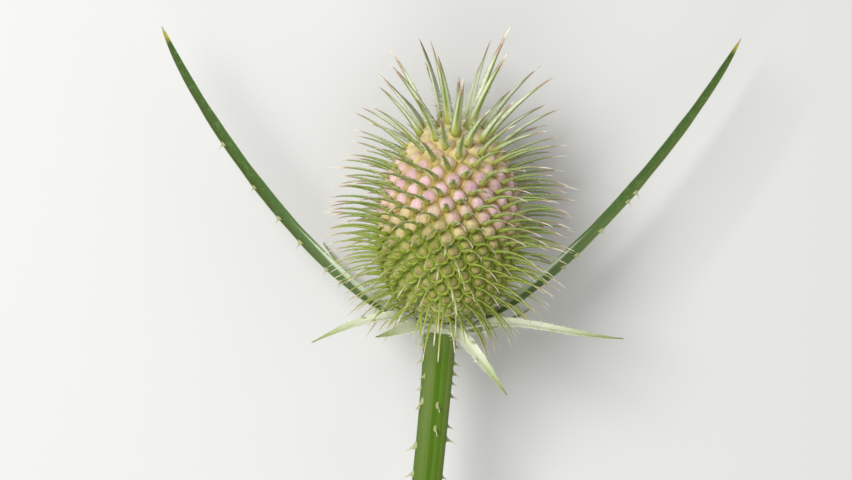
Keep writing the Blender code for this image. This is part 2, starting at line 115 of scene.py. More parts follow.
# Bracts: degrees round the stem, three points that the curve is drawn to and the half width
# in millimetres, the channel's depth over the half width, the way the upper face looks.
BLADE_THICKNESS = 0.6 * MM
BRACT_ROOT_RADIUS = 4.4 * MM
BRACT_ROOT_LEVEL = -24.5 * MM
BRACT_ROOT_SHARE = 0.55
BRACT_TIP = 0.2 * MM
FOLD_GROWS = 0.35  # share of the length over which the channel deepens
LONG_TAPER = (3.2, 0.5)
SHORT_TAPER = (2.2, 0.75)
BRACTS = {
    "bract_long_left": (-104, (-26.6, -6.6, 23.8), (-56.6, 34.0, 20.8), (-65.4, 55.7, 18.8),
                        1.53, 0.5, (0.15, 0.17, 0.9)),
    "bract_long_right": (100, (23.1, -6.1, 23.8), (54.9, 32.1, 20.8), (66.1, 52.9, 18.8),
                         1.45, 0.5, (-0.15, 0.15, 0.9)),
    "bract_left": (-72, (-11.4, -7.8, 29.2), (-20.5, -10.6, 31.0), (-30.6, -15.4, 31.0),
                   1.6, 0.45, (0.1, 0.8, 0.6)),
    "bract_right": (62, (12.0, -8.6, 31.0), (24.0, -13.9, 33.0), (38.3, -14.6, 33.0),
                    1.45, 0.45, (0.0, 0.75, 0.65)),
    "bract_front_left": (-38, (-7.0, -11.0, 34.8), (-11.0, -12.9, 40.5), (-16.2, -13.8, 45.0),
                         1.6, 0.4, (0.5, 0.65, 0.55)),
    "bract_front_right": (22, (1.4, -11.6, 36.0), (6.0, -18.3, 40.5), (12.2, -26.4, 42.0),
                          1.75, 0.4, (0.2, 0.5, 0.85)),
    "bract_back_left": (-145, (-12.0, -12.5, 13.0), (-21.5, -5.0, 4.0), (-29.3, 6.4, 0.5),
                        1.5, 0.4, (0.3, 0.75, 0.55)),
    "bract_back_right": (142, (5.2, -15.2, 14.0), (12.0, -13.0, 4.5), (18.6, -9.0, 0.5),
                         1.5, 0.4, (-0.2, 0.75, 0.6)),
}

# The stem and its prickles.
STEM_POINTS = ((-2.7, -21.6, 26.3), (-4.3, -40.0, 26.2), (-6.3, -56.3, 26.1))
STEM_RADIUS = 3.4 * MM
STEM_FLARE = 0.45 * MM
STEM_GAP = 0.3 * MM
STEM_RIBS = 4
STEM_RIB_TURN = math.radians(33)
STEM_RIB_HEIGHT = 0.28 * MM
PRICKLE_SLANT, PRICKLE_STRAY = math.radians(14), math.radians(9)
# Degrees round the stem from its upper side to its left, and the places of its prickles
# along it there.
STEM_PRICKLES = {
    150: (0.27, 0.41, 0.56, 0.72, 0.88),
    90: (0.145, 0.235, 0.385, 0.48, 0.66, 0.785, 0.92),
    50: (0.32, 0.45),
    -12: (0.46, 0.57),
    -90: (0.145, 0.24, 0.295, 0.345, 0.41, 0.555, 0.615, 0.785, 0.91),
    -150: (0.31, 0.46, 0.6, 0.77, 0.9),
}
# Places of the prickles along a bract, on its outer edge where above zero, else on its inner.
EDGE_PRICKLES = {
    "bract_long_left": (0.265, 0.31, 0.395, 0.465, 0.55, 0.665),
    "bract_long_right": (0.27, 0.325, 0.365, 0.44, 0.525, 0.55),
    "bract_left": (0.53, -0.6),
    "bract_right": (0.3, 0.62),
    "bract_front_right": (-0.5, 0.66),
}
# Place of their roots across the blade, and how far they point back and down.
EDGE_ACROSS = 0.85
EDGE_BACK, EDGE_DOWN = 0.15, 0.25
# Sizes of the prickles, over the sidebar's: the least and most on the stem and on the long
# bracts, and the one on the short bracts.
STEM_SCALES = (0.9, 1.5)
EDGE_SCALES = (0.85, 1.1)
SHORT_SCALE = 0.75

# Fine hairs along the edges of a short bract, and the level that they are coloured by.
FRINGE_HAIRS = 260
FRINGE_LEVEL = -0.9

# Rings and points round a ring of a bract's blade.
LONG_GRID = (120, 28)
SHORT_GRID = (60, 24)

# Seeds of the draws that only the fine pieces take.
FLORET_SEED = 7
HAIR_SEED = 11
FRINGE_SEED = 17
STEM_PRICKLE_SEED = 5
STRAY_SEED = 23
EDGE_PRICKLE_SEED = 3

# Share of the way that a direction is measured over.
STEP = 1e-4

# The camera of the photograph, over the middle of its picture.
CAMERA_PLACE = (-5.4 * MM, 7.4 * MM, (26.3 + 650) * MM)
CAMERA_LENS = 122.07
CAMERA_NEAR = 0.01

# The studio: half the floor's width, and each light's place, width and watts.
FLOOR_REACH = 2.0
LIGHTS = {
    "key": ((-0.34, 0.22, 0.62), 0.36, 5.2),
    "fill": ((0.45, -0.05, 0.45), 0.5, 0.6),
    "front": ((-0.12, -0.42, 0.5), 0.45, 1.7),
}
SKY_COLOUR = (1, 0.985, 0.95, 1)
SKY_STRENGTH = 0.28


def screen(red, green, blue):
    """Linear values of a colour that a screen shows as red, green, blue from 0 to 255."""
    values = np.array((red, green, blue)) / 255
    return tuple(np.where(values <= 0.04045, values / 12.92, ((values + 0.055) / 1.055) ** 2.4))


def length_property(name, description, default):
    return FloatProperty(name=name, description=description, default=default, min=0,
                         unit="LENGTH", precision=5)


def colour_property(name, description, default):
    return FloatVectorProperty(name=name, description=description, default=default, min=0,
                               max=1, size=3, subtype="COLOR")


class TeaselSizes(bpy.types.PropertyGroup):
    bud_width: FloatProperty(
        name="Bud width", description="Half width of a bud, as a share of the buds' distance",
        default=0.42, min=0.1, max=0.6, subtype="FACTOR")
    bud_swell: FloatProperty(
        name="Bud swell", description="How much fuller the buds of the pink band are",
        default=0.08, min=0, max=0.3, subtype="FACTOR")
    cup_height: FloatProperty(
        name="Cup height", description="Height of the cup round a bud, as a share of its distance",
        default=0.36, min=0, max=1, subtype="FACTOR")
    spine_width: length_property(
        "Spine width", "Half width of a spine on the flower head's flank", 0.54 * MM)
    crown_width: length_property(
        "Crown spine width", "Half width of the broad spines round the top", 1.02 * MM)
    hair_length: length_property(
        "Hair length", "Length of the fine hairs along the spines", 1.15 * MM)
    hair_radius: length_property(
        "Hair radius", "Radius of a fine hair at its root", 0.055 * MM)
    hairs_per_spine: IntProperty(
        name="Hairs per spine", description="How many fine hairs stand along a spine",
        default=46, min=0, max=60)
    prickle_length: length_property("Prickle length", "Length of a prickle", 2.2 * MM)
    prickle_radius: length_property("Prickle radius", "Radius of a prickle's root", 0.35 * MM)
    blade_edge: length_property(
        "Blade edge", "Thickness of a bract at its edge", 0.22 * MM)


class TeaselColours(bpy.types.PropertyGroup):
    pink: colour_property("Pink", "Buds about to open", screen(236, 196, 203))
    mauve: colour_property("Mauve", "Darker buds of the pink band", screen(208, 160, 176))
    peach: colour_property("Peach", "Foot of the buds, cups of the band", screen(202, 174, 116))
    tan: colour_property("Tan", "Buds of the upper flower head", screen(210, 192, 137))
    rosy_brown: colour_property("Rosy brown", "Buds of the lower flower head",
                                screen(166, 148, 86))
    olive: colour_property("Olive", "Foot of the lower buds, lower core", screen(140, 150, 34))
    lime: colour_property("Lime", "Foot of the spines", screen(150, 168, 54))
    spine_green: colour_property("Spine green", "Midrib of the spines", screen(112, 138, 36))
    mint: colour_property("Mint", "Thin pale edges, and the lowest cups", screen(216, 222, 192))
    tip_brown: colour_property("Tip brown", "Outer part of the spines", screen(190, 148, 138))
    tip_white: colour_property("Tip white", "Points of spines and prickles",
                               screen(236, 228, 206))
    leaf: colour_property("Leaf", "Long bracts", screen(62, 92, 30))
    leaf_dark: colour_property("Leaf, darker", "Long bracts between their veins",
                               screen(50, 76, 22))
    stem: colour_property("Stem", "Ribs of the stem", screen(94, 114, 48))
    groove: colour_property("Groove", "Grooves of the stem", screen(74, 106, 8))
    floor: colour_property("Floor", "The studio's floor", (0.62, 0.62, 0.61))


# Meshes

def skin(name, rings, tail, head, marks, material):
    """A closed skin over each stack of rings, with a fan of triangles to a point at both ends.

    rings is copies x rings x points round x 3; quads join every ring to the next one. A copy
    whose signed volume, a sixth of the sum of a . (b x c) over its triangles, is below zero
    has its faces turned round. marks are numbers kept on the points for the finish.
    """
    copies, count, around, _ = rings.shape
    ends = [np.broadcast_to(end, (copies, 3))[:, None] for end in (tail, head)]
    points = np.concatenate([ends[0], rings.reshape(copies, -1, 3), ends[1]], axis=1)
    ring = np.arange(around)
    after = np.roll(ring, -1)
    first = 1 + around * np.arange(count - 1)[:, None]
    quads = np.stack([first + ring, first + after, first + around + after,
                      first + around + ring], -1).reshape(-1, 4)
    last = 1 + around * (count - 1)
    fans = np.concatenate([np.stack([0 * ring, 1 + after, 1 + ring], -1),
                           np.stack([last + ring, last + after, 0 * ring + last + around], -1)])
    triangles = np.concatenate([quads[:, :3], quads[:, [0, 2, 3]], fans])
    corners = (points - points.mean(1, keepdims=True))[:, triangles]
    inside_out = np.einsum("cti,cti->c", corners[:, :, 0],
                           np.cross(corners[:, :, 1], corners[:, :, 2])) < 0
    offset = (np.arange(copies) * points.shape[1])[:, None, None]
    faces = []
    for kind in (quads, fans):
        all_faces = np.broadcast_to(kind, (copies, *kind.shape)) + offset
        all_faces = np.where(inside_out[:, None, None], all_faces[..., ::-1], all_faces)
        faces += all_faces.reshape(-1, kind.shape[1]).tolist()
    mesh = bpy.data.meshes.new(name)
    mesh.from_pydata(points.reshape(-1, 3), [], faces)
    for key, values in marks.items():
        values = np.broadcast_to(values, (copies, count, around))
        flat = np.concatenate([values[:, 0].mean(1, keepdims=True), values.reshape(copies, -1),
                               values[:, -1].mean(1, keepdims=True)], axis=1)
        layer = mesh.attributes.new(key, "FLOAT", "POINT")
        layer.data.foreach_set("value", flat.astype(np.float32).ravel())
    mesh.shade_smooth()
    mesh.materials.append(material)
    piece = bpy.data.objects.new(name, mesh)
    bpy.context.scene.collection.objects.link(piece)
    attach(piece, "root")
    return piece


def stand_for(piece, slot, *nodes):
    """Hides the solids that a piece replaces; the piece and its slot are not used."""
    if nodes:
        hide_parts(*nodes)


def unit(vectors):
    """The vectors' directions, each one long."""
    return vectors / np.linalg.norm(vectors, axis=-1, keepdims=True)


def smooth_step(low, high, values):
    """0 below low, 1 above high, and 3x^2 - 2x^3 between them."""
    x = np.clip((values - low) / (high - low), 0, 1)
    return x * x * (3 - 2 * x)


def turned(angles, first, second):
    """cos(angle) of each first direction plus sin(angle) of each second one."""
    return (np.cos(angles)[:, None] * first[:, None]
            + np.sin(angles)[:, None] * second[:, None])


def square_frame(line, up):
    """Unit directions along lines (copies x points x 3), across them, and up square to both."""
    along = unit(np.gradient(line, axis=1))
    up = unit(up - along * (up * along).sum(-1, keepdims=True))
    return along, np.cross(along, up), up


# The flower head's shape

def outward(turn):
    """Unit direction square to the head's axis: sin(turn) to the right, cos(turn) up."""
    return np.multiply.outer(np.sin(turn), RIGHT) + np.multiply.outer(np.cos(turn), FRONT)


def egg_radius(level):
    """A circle's half chord, made narrower in step with the level."""
    return HEAD_RADIUS * np.sqrt(1 - level * level) * (1 - HEAD_EGG * level)


def egg_point(turn, level):
    """A point of the egg; level runs from -1 at its bottom to 1 at its top."""
    level = np.asarray(level)
    return (HEAD_CENTRE + np.multiply.outer(level * HEAD_HALF_LENGTH, AXIS)
            + outward(turn) * egg_radius(level)[..., None])


def normal_rise(level):
    """Angle of the egg's normal above square to the axis."""
    return np.arctan2(HEAD_RADIUS * level, HEAD_HALF_LENGTH * np.sqrt(1 - level * level))


def floret_sites():
    """Turn and level of every floret, lowest first.

    The pairs share out the egg's surface between the first and last level, each floret
    having a little more room towards the top; each pair is turned on by half the golden angle.
    """
    levels = np.linspace(FLORET_FIRST, FLORET_LAST, LEVEL_STEPS)
    slant = np.hypot(np.gradient(egg_radius(levels), levels), HEAD_HALF_LENGTH)
    crowding = egg_radius(levels) * slant / (1 + FLORET_SPREAD * levels)
    count = np.concatenate([[0], np.cumsum((crowding[1:] + crowding[:-1]) / 2)])
    shares = (np.arange(FLORET_PAIRS) + 0.5) / FLORET_PAIRS
    pair_levels = np.interp(shares * count[-1], count, levels)
    steps = np.repeat(np.arange(FLORET_PAIRS), 2)
    turns = steps * FLORET_TURN + np.tile((0, math.pi), FLORET_PAIRS)
    return turns, np.repeat(pair_levels, 2)


def floret_pitch(places):
    """Mean distance from each floret to its six nearest neighbours."""
    gaps = np.sort(np.linalg.norm(places[:, None] - places[None], axis=2), axis=1)
    return gaps[:, 1:7].mean(1)


def bezier(points, t):
    """Cubic curve through the first and last of four points, drawn towards the other two."""
    t = np.asarray(t, float)[:, None]
    p = np.asarray(points, float)
    return ((1 - t) ** 3 * p[0] + 3 * t * (1 - t) ** 2 * p[1]
            + 3 * t * t * (1 - t) * p[2] + t**3 * p[3])


def is_long(name):
    return name.startswith("bract_long")


def blade_half_width(name, t):
    """Half width along a bract: drawn in at its root, and it falls as (1 - t^a)^b to its tip."""
    full = BRACTS[name][4] * MM
    root = BRACT_ROOT_SHARE + (1 - BRACT_ROOT_SHARE) * smooth_step(0, 0.16, t)
    first, second = LONG_TAPER if is_long(name) else SHORT_TAPER
    return np.maximum(full * root * (1 - np.clip(t, 0, 1) ** first) ** second, BRACT_TIP)


def blade_fold(name, t):
    """Rise of a bract's edges over its middle, as a share of its half width."""
    *_, channel, _ = BRACTS[name]
    return channel * np.clip(t / FOLD_GROWS, 0, 1)


def blade_frame(name, t):
    """The middle line of a bract at t, with its unit side and upper-face directions."""
    turn, *drawn, _, _, facing = BRACTS[name]
    root = (HEAD_CENTRE + AXIS * BRACT_ROOT_LEVEL
            + outward(math.radians(turn)) * BRACT_ROOT_RADIUS)
    points = np.vstack([root, np.array(drawn) * MM])
    along = unit(bezier(points, t + STEP) - bezier(points, t - STEP))
    twist = np.clip(t / 0.3, 0, 1)[:, None]
    looks = AXIS * (1 - twist) + np.array(facing) * twist
    up = unit(looks - along * (looks * along).sum(1)[:, None])
    return bezier(points, t), np.cross(along, up), up


def spine_line(turn, level, draws, bend, t):
    """Middle line of a spine: a straight way out, arched by 4t(1 - t), its outer part bent.

    draws are its own share of extra length, rise and turn; bend is how far its outer part
    gives way, up and aside.
    """
    stretch, lift, veer = draws
    root_level = max(level - SPINE_BELOW * egg_radius(level) / HEAD_RADIUS / HEAD_HALF_LENGTH,
                     BASE_LEVEL)
    square = normal_rise(root_level)
    root = egg_point(turn, root_level)
    root = root - (outward(turn) * math.cos(square) + AXIS * math.sin(square)) * SPINE_SUNK
    giving = smooth_step(*BEND_GROWS, t)
    droop = SPINE_DROOP * math.exp(-(((level - DROOP_LEVEL) / DROOP_WIDTH) ** 2))
    rise = (normal_rise(level) - droop + lift + giving * bend[0])[:, None]
    out = outward(turn + veer + giving * bend[1])
    way = out * np.cos(rise) + AXIS * np.sin(rise)
    arch = AXIS * np.cos(rise) - out * np.sin(rise)
    crown = np.clip((level - CROWN_FROM) / CROWN_OVER, 0, 1) ** 3
    young = 1 - YOUNG_LOSS * np.clip((level - YOUNG_FROM) / YOUNG_OVER, 0, 1)
    length = (SPINE_LENGTH * (1 + LONGER_UP * level) + SPINE_CROWN * crown) * young
    length *= 1 + stretch * (0.5 + 0.5 * np.clip((level - DRAW_FROM) / DRAW_OVER, 0, 1))
    length += SPINE_SUNK
    sag = SPINE_SAG * (SAG_LOW - SAG_FALL * max(level, 0))
    line = root + length * (t[:, None] * way + (4 * t * (1 - t))[:, None] * sag * arch)
    lowest = line[:, 2].min()
    if lowest < 0:
        line[:, 2] = root[2] + (line[:, 2] - root[2]) * root[2] / (root[2] - lowest)
    return line


def bract_strips():
    """Places along every bract: its middle, side and upper-face directions, half width, fold."""
    t = np.linspace(0, 1, 90)
    strips = []
    for name in BRACTS:
        half = blade_half_width(name, t)
        strips.append((*blade_frame(name, t), half, half * blade_fold(name, t)))
    return strips


def meets_bract(line, thick, strips):
    """Whether a spine comes into the room of a bract's blade."""
    for middle, side, up, half, fold in strips:
        gap = line[:, None, :] - middle[None]
        nearest = np.einsum("ijk,ijk->ij", gap, gap).argmin(axis=1)
        gap = gap[np.arange(len(line)), nearest]
        beside = abs((gap * side[nearest]).sum(1))
        above = (gap * up[nearest]).sum(1)
        beyond = (gap * np.cross(side[nearest], up[nearest])).sum(1)
        inside = (beside < half[nearest] + thick) & (abs(beyond) < BLADE_CLEAR + thick)
        inside &= above > -BLADE_THICKNESS / 2 - thick
        inside &= above < BLADE_THICKNESS / 2 + thick + fold[nearest]
        if inside.any():
            return True
    return False


def meets_stem(line, thick):
    """Whether a spine comes into the room of the stem's top."""
    gap = line - HEAD_CENTRE
    height = gap @ AXIS
    radius = np.linalg.norm(gap - height[:, None] * AXIS, axis=1)
    low = height < BASE_LEVEL * HEAD_HALF_LENGTH + thick
    return (low & (radius < STEM_RADIUS + STEM_FLARE + STEM_GAP + thick)).any()


def meets_spine(line, thick, placed, placed_thick):
    """Whether a spine comes too close to those that stand already."""
    gap = line[:, None, :] - placed[None]
    return (np.einsum("ijk,ijk->ij", gap, gap)
            < (thick[:, None] + placed_thick[None]) ** 2).any()


def spine_lines(turns, levels):
    """(which florets, their spines' middle lines in points from root to tip).

    A spine that would meet a bract, the stem or another spine is bent a little further, up
    or down and to either side, until it stands free, and is left out where nothing is.
    """
    draw = np.random.default_rng(SPINE_SEED)
    fine = np.linspace(0, 1, SPINE_POINTS)
    outer = fine > SPINE_FREE
    thick = np.interp(fine, SPINE_ROOM_PLACES, SPINE_ROOM)[outer]
    bends = [(up, aside) for up in np.radians(BENDS_UP) for aside in np.radians(BENDS_ASIDE)]
    bends.sort(key=lambda bend: abs(bend[0]) + ASIDE_COST * abs(bend[1]))
    strips = bract_strips()
    placed = np.full((1, len(thick), 3), 9.0)
    kept = []
    lines = []
    for number, (turn, level) in enumerate(zip(turns, levels)):
        draws = draw.normal(0, SPINE_JITTER)
        place = egg_point(turn, level)
        near = 2 * SPINE_LENGTH
        close = np.linalg.norm(placed[:, 0] - place, axis=1) < near
        others = placed[close].reshape(-1, 3)
        room = np.tile(thick, close.sum())
        around = [strip for strip in strips
                  if np.linalg.norm(strip[0] - place, axis=1).min() < near]
        for bend in bends:
            line = spine_line(turn, level, draws, bend, fine)
            free = line[outer]
            if (meets_bract(free, thick + SPINE_GAP, around) or meets_stem(free, thick)
                    or meets_spine(free, thick, others, room)):
                continue
            placed = np.concatenate([placed, free[None]])
            kept.append(number)
            lines.append(line)
            break
    return np.array(kept), np.array(lines)


# Surfaces of the flower head

# The core's radius and length over the egg's.
CORE_RADIUS, CORE_LENGTH = 0.90, 0.93
# Its rings and points round a ring, and the degrees from its middle to the last ring.
CORE_GRID = (60, 96)
CORE_END = 86
# Levels over which the pink band starts, and over which it ends.
PINK_STARTS, PINK_ENDS = (-0.16, 0.1), (0.5, 0.72)
# Buds, in shares of the distance between florets: how much of their swell widens them,
# how much slimmer they are above the pink band and below it and over which levels, and
# how much they differ; then their height over their width.
SWELL_WIDENS = 0.3
SLIM_ABOVE, SLIM_ABOVE_LEVELS = 0.15, (0.42, 0.62)
SLIM_BELOW, SLIM_BELOW_LEVELS = 0.08, (0.0, 0.4)
BUDS_DIFFER = 0.18
BUD_HEIGHT = 1.05
# Their tops over the egg: how much of the swell lifts those in the band and how much of it
# sinks all, how much they differ, how much they sink below the band and over which levels.
SWELL_LIFTS, SWELL_SINKS = 1.3, 0.4
TOPS_DIFFER = 0.05
SUNK_BELOW, SUNK_BELOW_LEVELS = 0.07, (0.05, 0.45)
# How far a bud hangs below its floret, and its root under its middle over its height.
BUD_HANGS, BUD_ROOT = 0.08, 0.6
# The power that rounds a bud's rings off, its lobes and how much they stand out.
BUD_ROUND = 0.9
BUD_LOBES, LOBE_RISE = 4, 0.025
# Degrees up a bud's dome to each of its rings.
BUD_RINGS = (-35, 4, 33, 58, 76)
BUD_AROUND, CUP_AROUND = 10, 12
# Rings of a cup: their reach over the cell's, their height over the buds' distance below the
# pink band, in it and above it, how much of the lip's height they take below it, and how
# much of the rim's colour, a lime with a painted highlight.
CUP_REACH = (1.0, 0.97, 0.80, 0.58)
CUP_BELOW = (-0.62, -0.40, -0.42, -0.46)
CUP_IN_BAND = (-0.62, -0.40, -0.27, -0.25)
CUP_ABOVE = (-0.62, -0.42, -0.20, -0.09)
CUP_LIP = (0.0, 1.0, 0.8, 0.0)
CUP_RIM_SHARE = (0.1, 0.75, 1.0, 0.35)
# Levels over which the lips end, and over which the cups close to mounds.
LIPS_END, CUPS_CLOSE = (-0.22, 0.12), (0.36, 0.6)
# Powers that gather the lip and the tongue at the lower edge, what the tongue adds to the
# reach, how much higher the lower edge is, how much cups differ, their root under the egg.
LIP_POWER, TONGUE_POWER = 1.4, 8
TONGUE_REACH = 0.10
CUP_TILT = 0.05
CUPS_DIFFER = 0.05
CUP_ROOT = 0.8
# Distances between florets within which a cell meets its neighbours, its widest reach,
# and the least distance in metres that counts as ahead.
CELL_NEAR, CELL_REACH = 2.1, 0.68
AHEAD = 1e-6


def core_surface():
    """An egg a little inside the buds: the same rings, at shares of its radius and length."""
    rows, around = CORE_GRID
    levels = np.sin(np.radians(np.linspace(-CORE_END, CORE_END, rows)))
    turns = np.linspace(0, 2 * math.pi, around, endpoint=False)
    radius = egg_radius(levels) * CORE_RADIUS
    middle = HEAD_CENTRE + np.multiply.outer(levels * HEAD_HALF_LENGTH * CORE_LENGTH, AXIS)
    rings = middle[:, None] + radius[:, None, None] * outward(turns)[None]
    ends = HEAD_CENTRE + np.array([[-1], [1]]) * AXIS * HEAD_HALF_LENGTH * CORE_LENGTH
    return rings[None], ends[0], ends[1], levels[None, :, None]


def bud_frames(turns, levels):
    """Place of each bud's tip with unit directions out of the egg, down it, and across."""
    rise = normal_rise(levels)[:, None]
    out = outward(turns)
    normal = out * np.cos(rise) + AXIS * np.sin(rise)
    down = out * np.sin(rise) - AXIS * np.cos(rise)
    return egg_point(turns, levels), normal, down, np.cross(normal, down)


def pink_share(levels):
    """1 inside the pink band and 0 outside it."""
    return smooth_step(*PINK_STARTS, levels) * (1 - smooth_step(*PINK_ENDS, levels))


def bud_surface(turns, levels, pitch, sizes, chance):
    """Domes: rings at set angles of an ellipse, whose radius swells a little at four lobes."""
    tip, normal, down, across = bud_frames(turns, levels)
    pink = pink_share(levels)
    share = (sizes.bud_width + SWELL_WIDENS * sizes.bud_swell * pink
             - SLIM_ABOVE * smooth_step(*SLIM_ABOVE_LEVELS, levels)
             - SLIM_BELOW * smooth_step(*SLIM_BELOW_LEVELS, -levels))
    wide = pitch * share * (1 + BUDS_DIFFER * (chance - 0.5))
    tall = wide * BUD_HEIGHT
    swell = sizes.bud_swell * (SWELL_LIFTS * pink - SWELL_SINKS)
    top = pitch * (swell + TOPS_DIFFER * (chance - 0.5)
                   - SUNK_BELOW * smooth_step(*SUNK_BELOW_LEVELS, -levels))
    angles = np.radians(BUD_RINGS)
    turning = np.linspace(0, 2 * math.pi, BUD_AROUND, endpoint=False)
    lobes = 1 + LOBE_RISE * np.cos(BUD_LOBES * turning)
    rim = np.cos(angles)[:, None] ** BUD_ROUND * lobes
    middle = tip + normal * (top - tall)[:, None] + down * (BUD_HANGS * pitch)[:, None]
    flat = turned(turning, down, across)
    rings = (middle[:, None, None] + (wide[:, None, None] * rim[None])[..., None] * flat[:, None]
             + (tall[:, None] * np.sin(angles))[:, :, None, None] * normal[:, None, None])
    height = np.broadcast_to(np.sin(angles)[None, :, None], rings.shape[:3])
    seam_x = rim[None] * np.cos(turning)
    seam_y = rim[None] * np.sin(turning)
    roots = middle - normal * (BUD_ROOT * tall)[:, None]
    marks = {"height": height, "seam_x": seam_x, "seam_y": seam_y}
    return rings, roots, middle + normal * tall[:, None], marks


def cell_reach(place, down, across, pitch, angles):
    """Distance from each floret to the edge of its cell along every angle.

    The edge lies halfway to a neighbour, so along a unit direction u the reach is the least
    of d.d / (2 d.u) over the offsets d to the neighbours.
    """
    offset = place[None] - place[:, None]
    flat = np.stack([np.einsum("ijk,ik->ij", offset, down),
                     np.einsum("ijk,ik->ij", offset, across)], -1)
    square = (flat**2).sum(-1)
    near = np.linalg.norm(offset, axis=2) < CELL_NEAR * pitch[:, None]
    np.fill_diagonal(near, False)
    ahead = flat @ np.stack([np.cos(angles), np.sin(angles)])
    reach = np.where(near[..., None] & (ahead > AHEAD), square[..., None] / 2
                     / np.maximum(ahead, AHEAD), 1.0)
    return np.minimum(reach.min(1), CELL_REACH * pitch[:, None])


def cup_surface(turns, levels, pitch, sizes, chance):
    """The foot of each floret's bract, which fills the floret's cell and holds its bud.

    Rings at shares of the cell's reach, each with a height over the egg. Below the pink
    band the lower edge stands up as a lip, above it the cup closes round the bud as a mound.
    """
    tip, normal, down, across = bud_frames(turns, levels)
    angles = np.linspace(0, 2 * math.pi, CUP_AROUND, endpoint=False)
    reach = cell_reach(tip, down, across, pitch, angles)
    share = np.array(CUP_REACH)
    low = (1 - smooth_step(*LIPS_END, levels))[:, None, None]
    high = smooth_step(*CUPS_CLOSE, levels)[:, None, None]
    lower_edge = (0.5 + 0.5 * np.cos(angles))[None, None] ** LIP_POWER
    tongue = np.clip(np.cos(angles), 0, 1) ** TONGUE_POWER
    net = np.array(CUP_BELOW)[:, None] + (
        np.array(CUP_LIP)[:, None] * sizes.cup_height * lower_edge[0])
    band = np.array(CUP_IN_BAND)[:, None] + CUP_TILT * np.cos(angles)
    mound = np.array(CUP_ABOVE)[:, None] + CUP_TILT * np.cos(angles)
    height = low * net + high * mound + (1 - low - high) * band
    height = height + CUPS_DIFFER * (chance[:, None, None] - 0.5)
    tongue = 1 + TONGUE_REACH * tongue * (share[:, None] > 0.9)
    spread = share[:, None] * tongue * reach[:, None]
    flat = turned(angles, down, across)
    rings = (tip[:, None, None] + spread[..., None] * flat[:, None]
             + (height * pitch[:, None, None])[..., None] * normal[:, None, None])
    floor = tip + normal * (height[:, -1].mean(1) * pitch)[:, None]
    # Where the lip's lime and its painted highlight go
    rim = np.array(CUP_RIM_SHARE)[:, None] * lower_edge
    return rings, tip - normal * (CUP_ROOT * pitch)[:, None], floor, {"rim": rim}


# Rings of a spine: their places along it and their half width over that near its root.
SPINE_PLACES = (0.0, 0.06, 0.11, 0.18, 0.32, 0.5, 0.68, 0.84, 0.95)
SPINE_TAPER = (1.5, 1.45, 1.22, 1.04, 0.9, 0.74, 0.54, 0.35, 0.2)
# Points round a spine, across and up, over its half width: a channel above, a keel below.
# Then how much each point is part of the pale edges, and of the inner side.
SPINE_SECTION = ((-1, 0.56), (0, 0.02), (1, 0.56), (0.58, -0.24), (0, -0.60), (-0.58, -0.24))
SPINE_EDGE = (1.0, 0.0, 1.0, 0.45, 0.0, 0.45)
SPINE_INNER = (0.9, 1.0, 0.9, 0.15, 0.0, 0.15)
# Levels over which spines broaden to the crown's, grow slim again on the top, and grow
# slim towards the base; what the last two lose, and how much widths differ.
BROAD_LEVELS, TOP_LEVELS, BASE_LEVELS = (0.62, 0.93), (0.97, 0.99), (-0.55, 0.0)
SLIM_TOP, SLIM_BASE = 0.45, 0.36
SPINES_DIFFER = 0.16
# A hair's corners in degrees, its knee's place and radius, and how far its knee and tip
# give way over its length; no hair points along HAIR_ASIDE.
HAIR_CORNERS = (0, 120, 240)
HAIR_KNEE, KNEE_RADIUS = 0.5, 0.7
KNEE_CURL, TIP_CURL = 0.12, 0.42
HAIR_ASIDE = (0.31, 0.17, 0.94)
# Hairs of a spine: the places along it where they grow and the power that crowds them
# towards its root, their root across and above its middle line over its half width, their
# way aside and along and how much ways and curls differ.
HAIR_PLACES, HAIR_CROWD = (0.07, 0.62), 1.15
HAIR_OUT, HAIR_UP = 0.88, 0.2
HAIR_WAY_OUT, HAIR_WAY_ALONG = 0.9, 0.55
WAYS_DIFFER, CURLS_DIFFER = 0.28, 0.6
# Their lengths over the sidebar's, what they lose towards the spine's tip and gain on the
# crown and over which levels, the share of them that stands at the base and the levels
# over which it grows to all.
HAIR_LENGTHS = (0.45, 1.15)
HAIR_LOSS, HAIR_GAIN, GAIN_LEVELS = 0.5, 0.7, (0.6, 0.9)
SPARSE, SPARSE_LEVELS = 0.12, (-0.3, 0.45)


def spine_frames(turns, levels, lines):
    """Directions along, across and up at every point of the spines' middle lines.

    Up looks towards the axis where the spine rises along it, and to the head's top where it
    stands out sideways.
    """
    rise = normal_rise(levels)[:, None]
    up = AXIS * np.cos(rise) - outward(turns) * np.sin(rise)
    return square_frame(lines, np.broadcast_to(up[:, None], lines.shape))


def spine_half_width(levels, sizes, chance):
    """Half width near a spine's root: narrow low down, broad round the top, slim on it."""
    crown = smooth_step(*BROAD_LEVELS, levels)
    young = smooth_step(*TOP_LEVELS, levels)
    low = 1 - smooth_step(*BASE_LEVELS, levels)
    width = sizes.spine_width * (1 - SLIM_BASE * low)
    width = width + (sizes.crown_width - width) * crown
    return width * (1 - SLIM_TOP * young) * (1 + SPINES_DIFFER * (chance - 0.5))


def at_places(values, places):
    """Values kept at evenly spaced points of each copy, read at other places."""
    spot = np.asarray(places) * (values.shape[1] - 1)
    low = np.minimum(spot.astype(int), values.shape[1] - 2)
    share = (spot - low)[None, :, None]
    return values[:, low] * (1 - share) + values[:, low + 1] * share


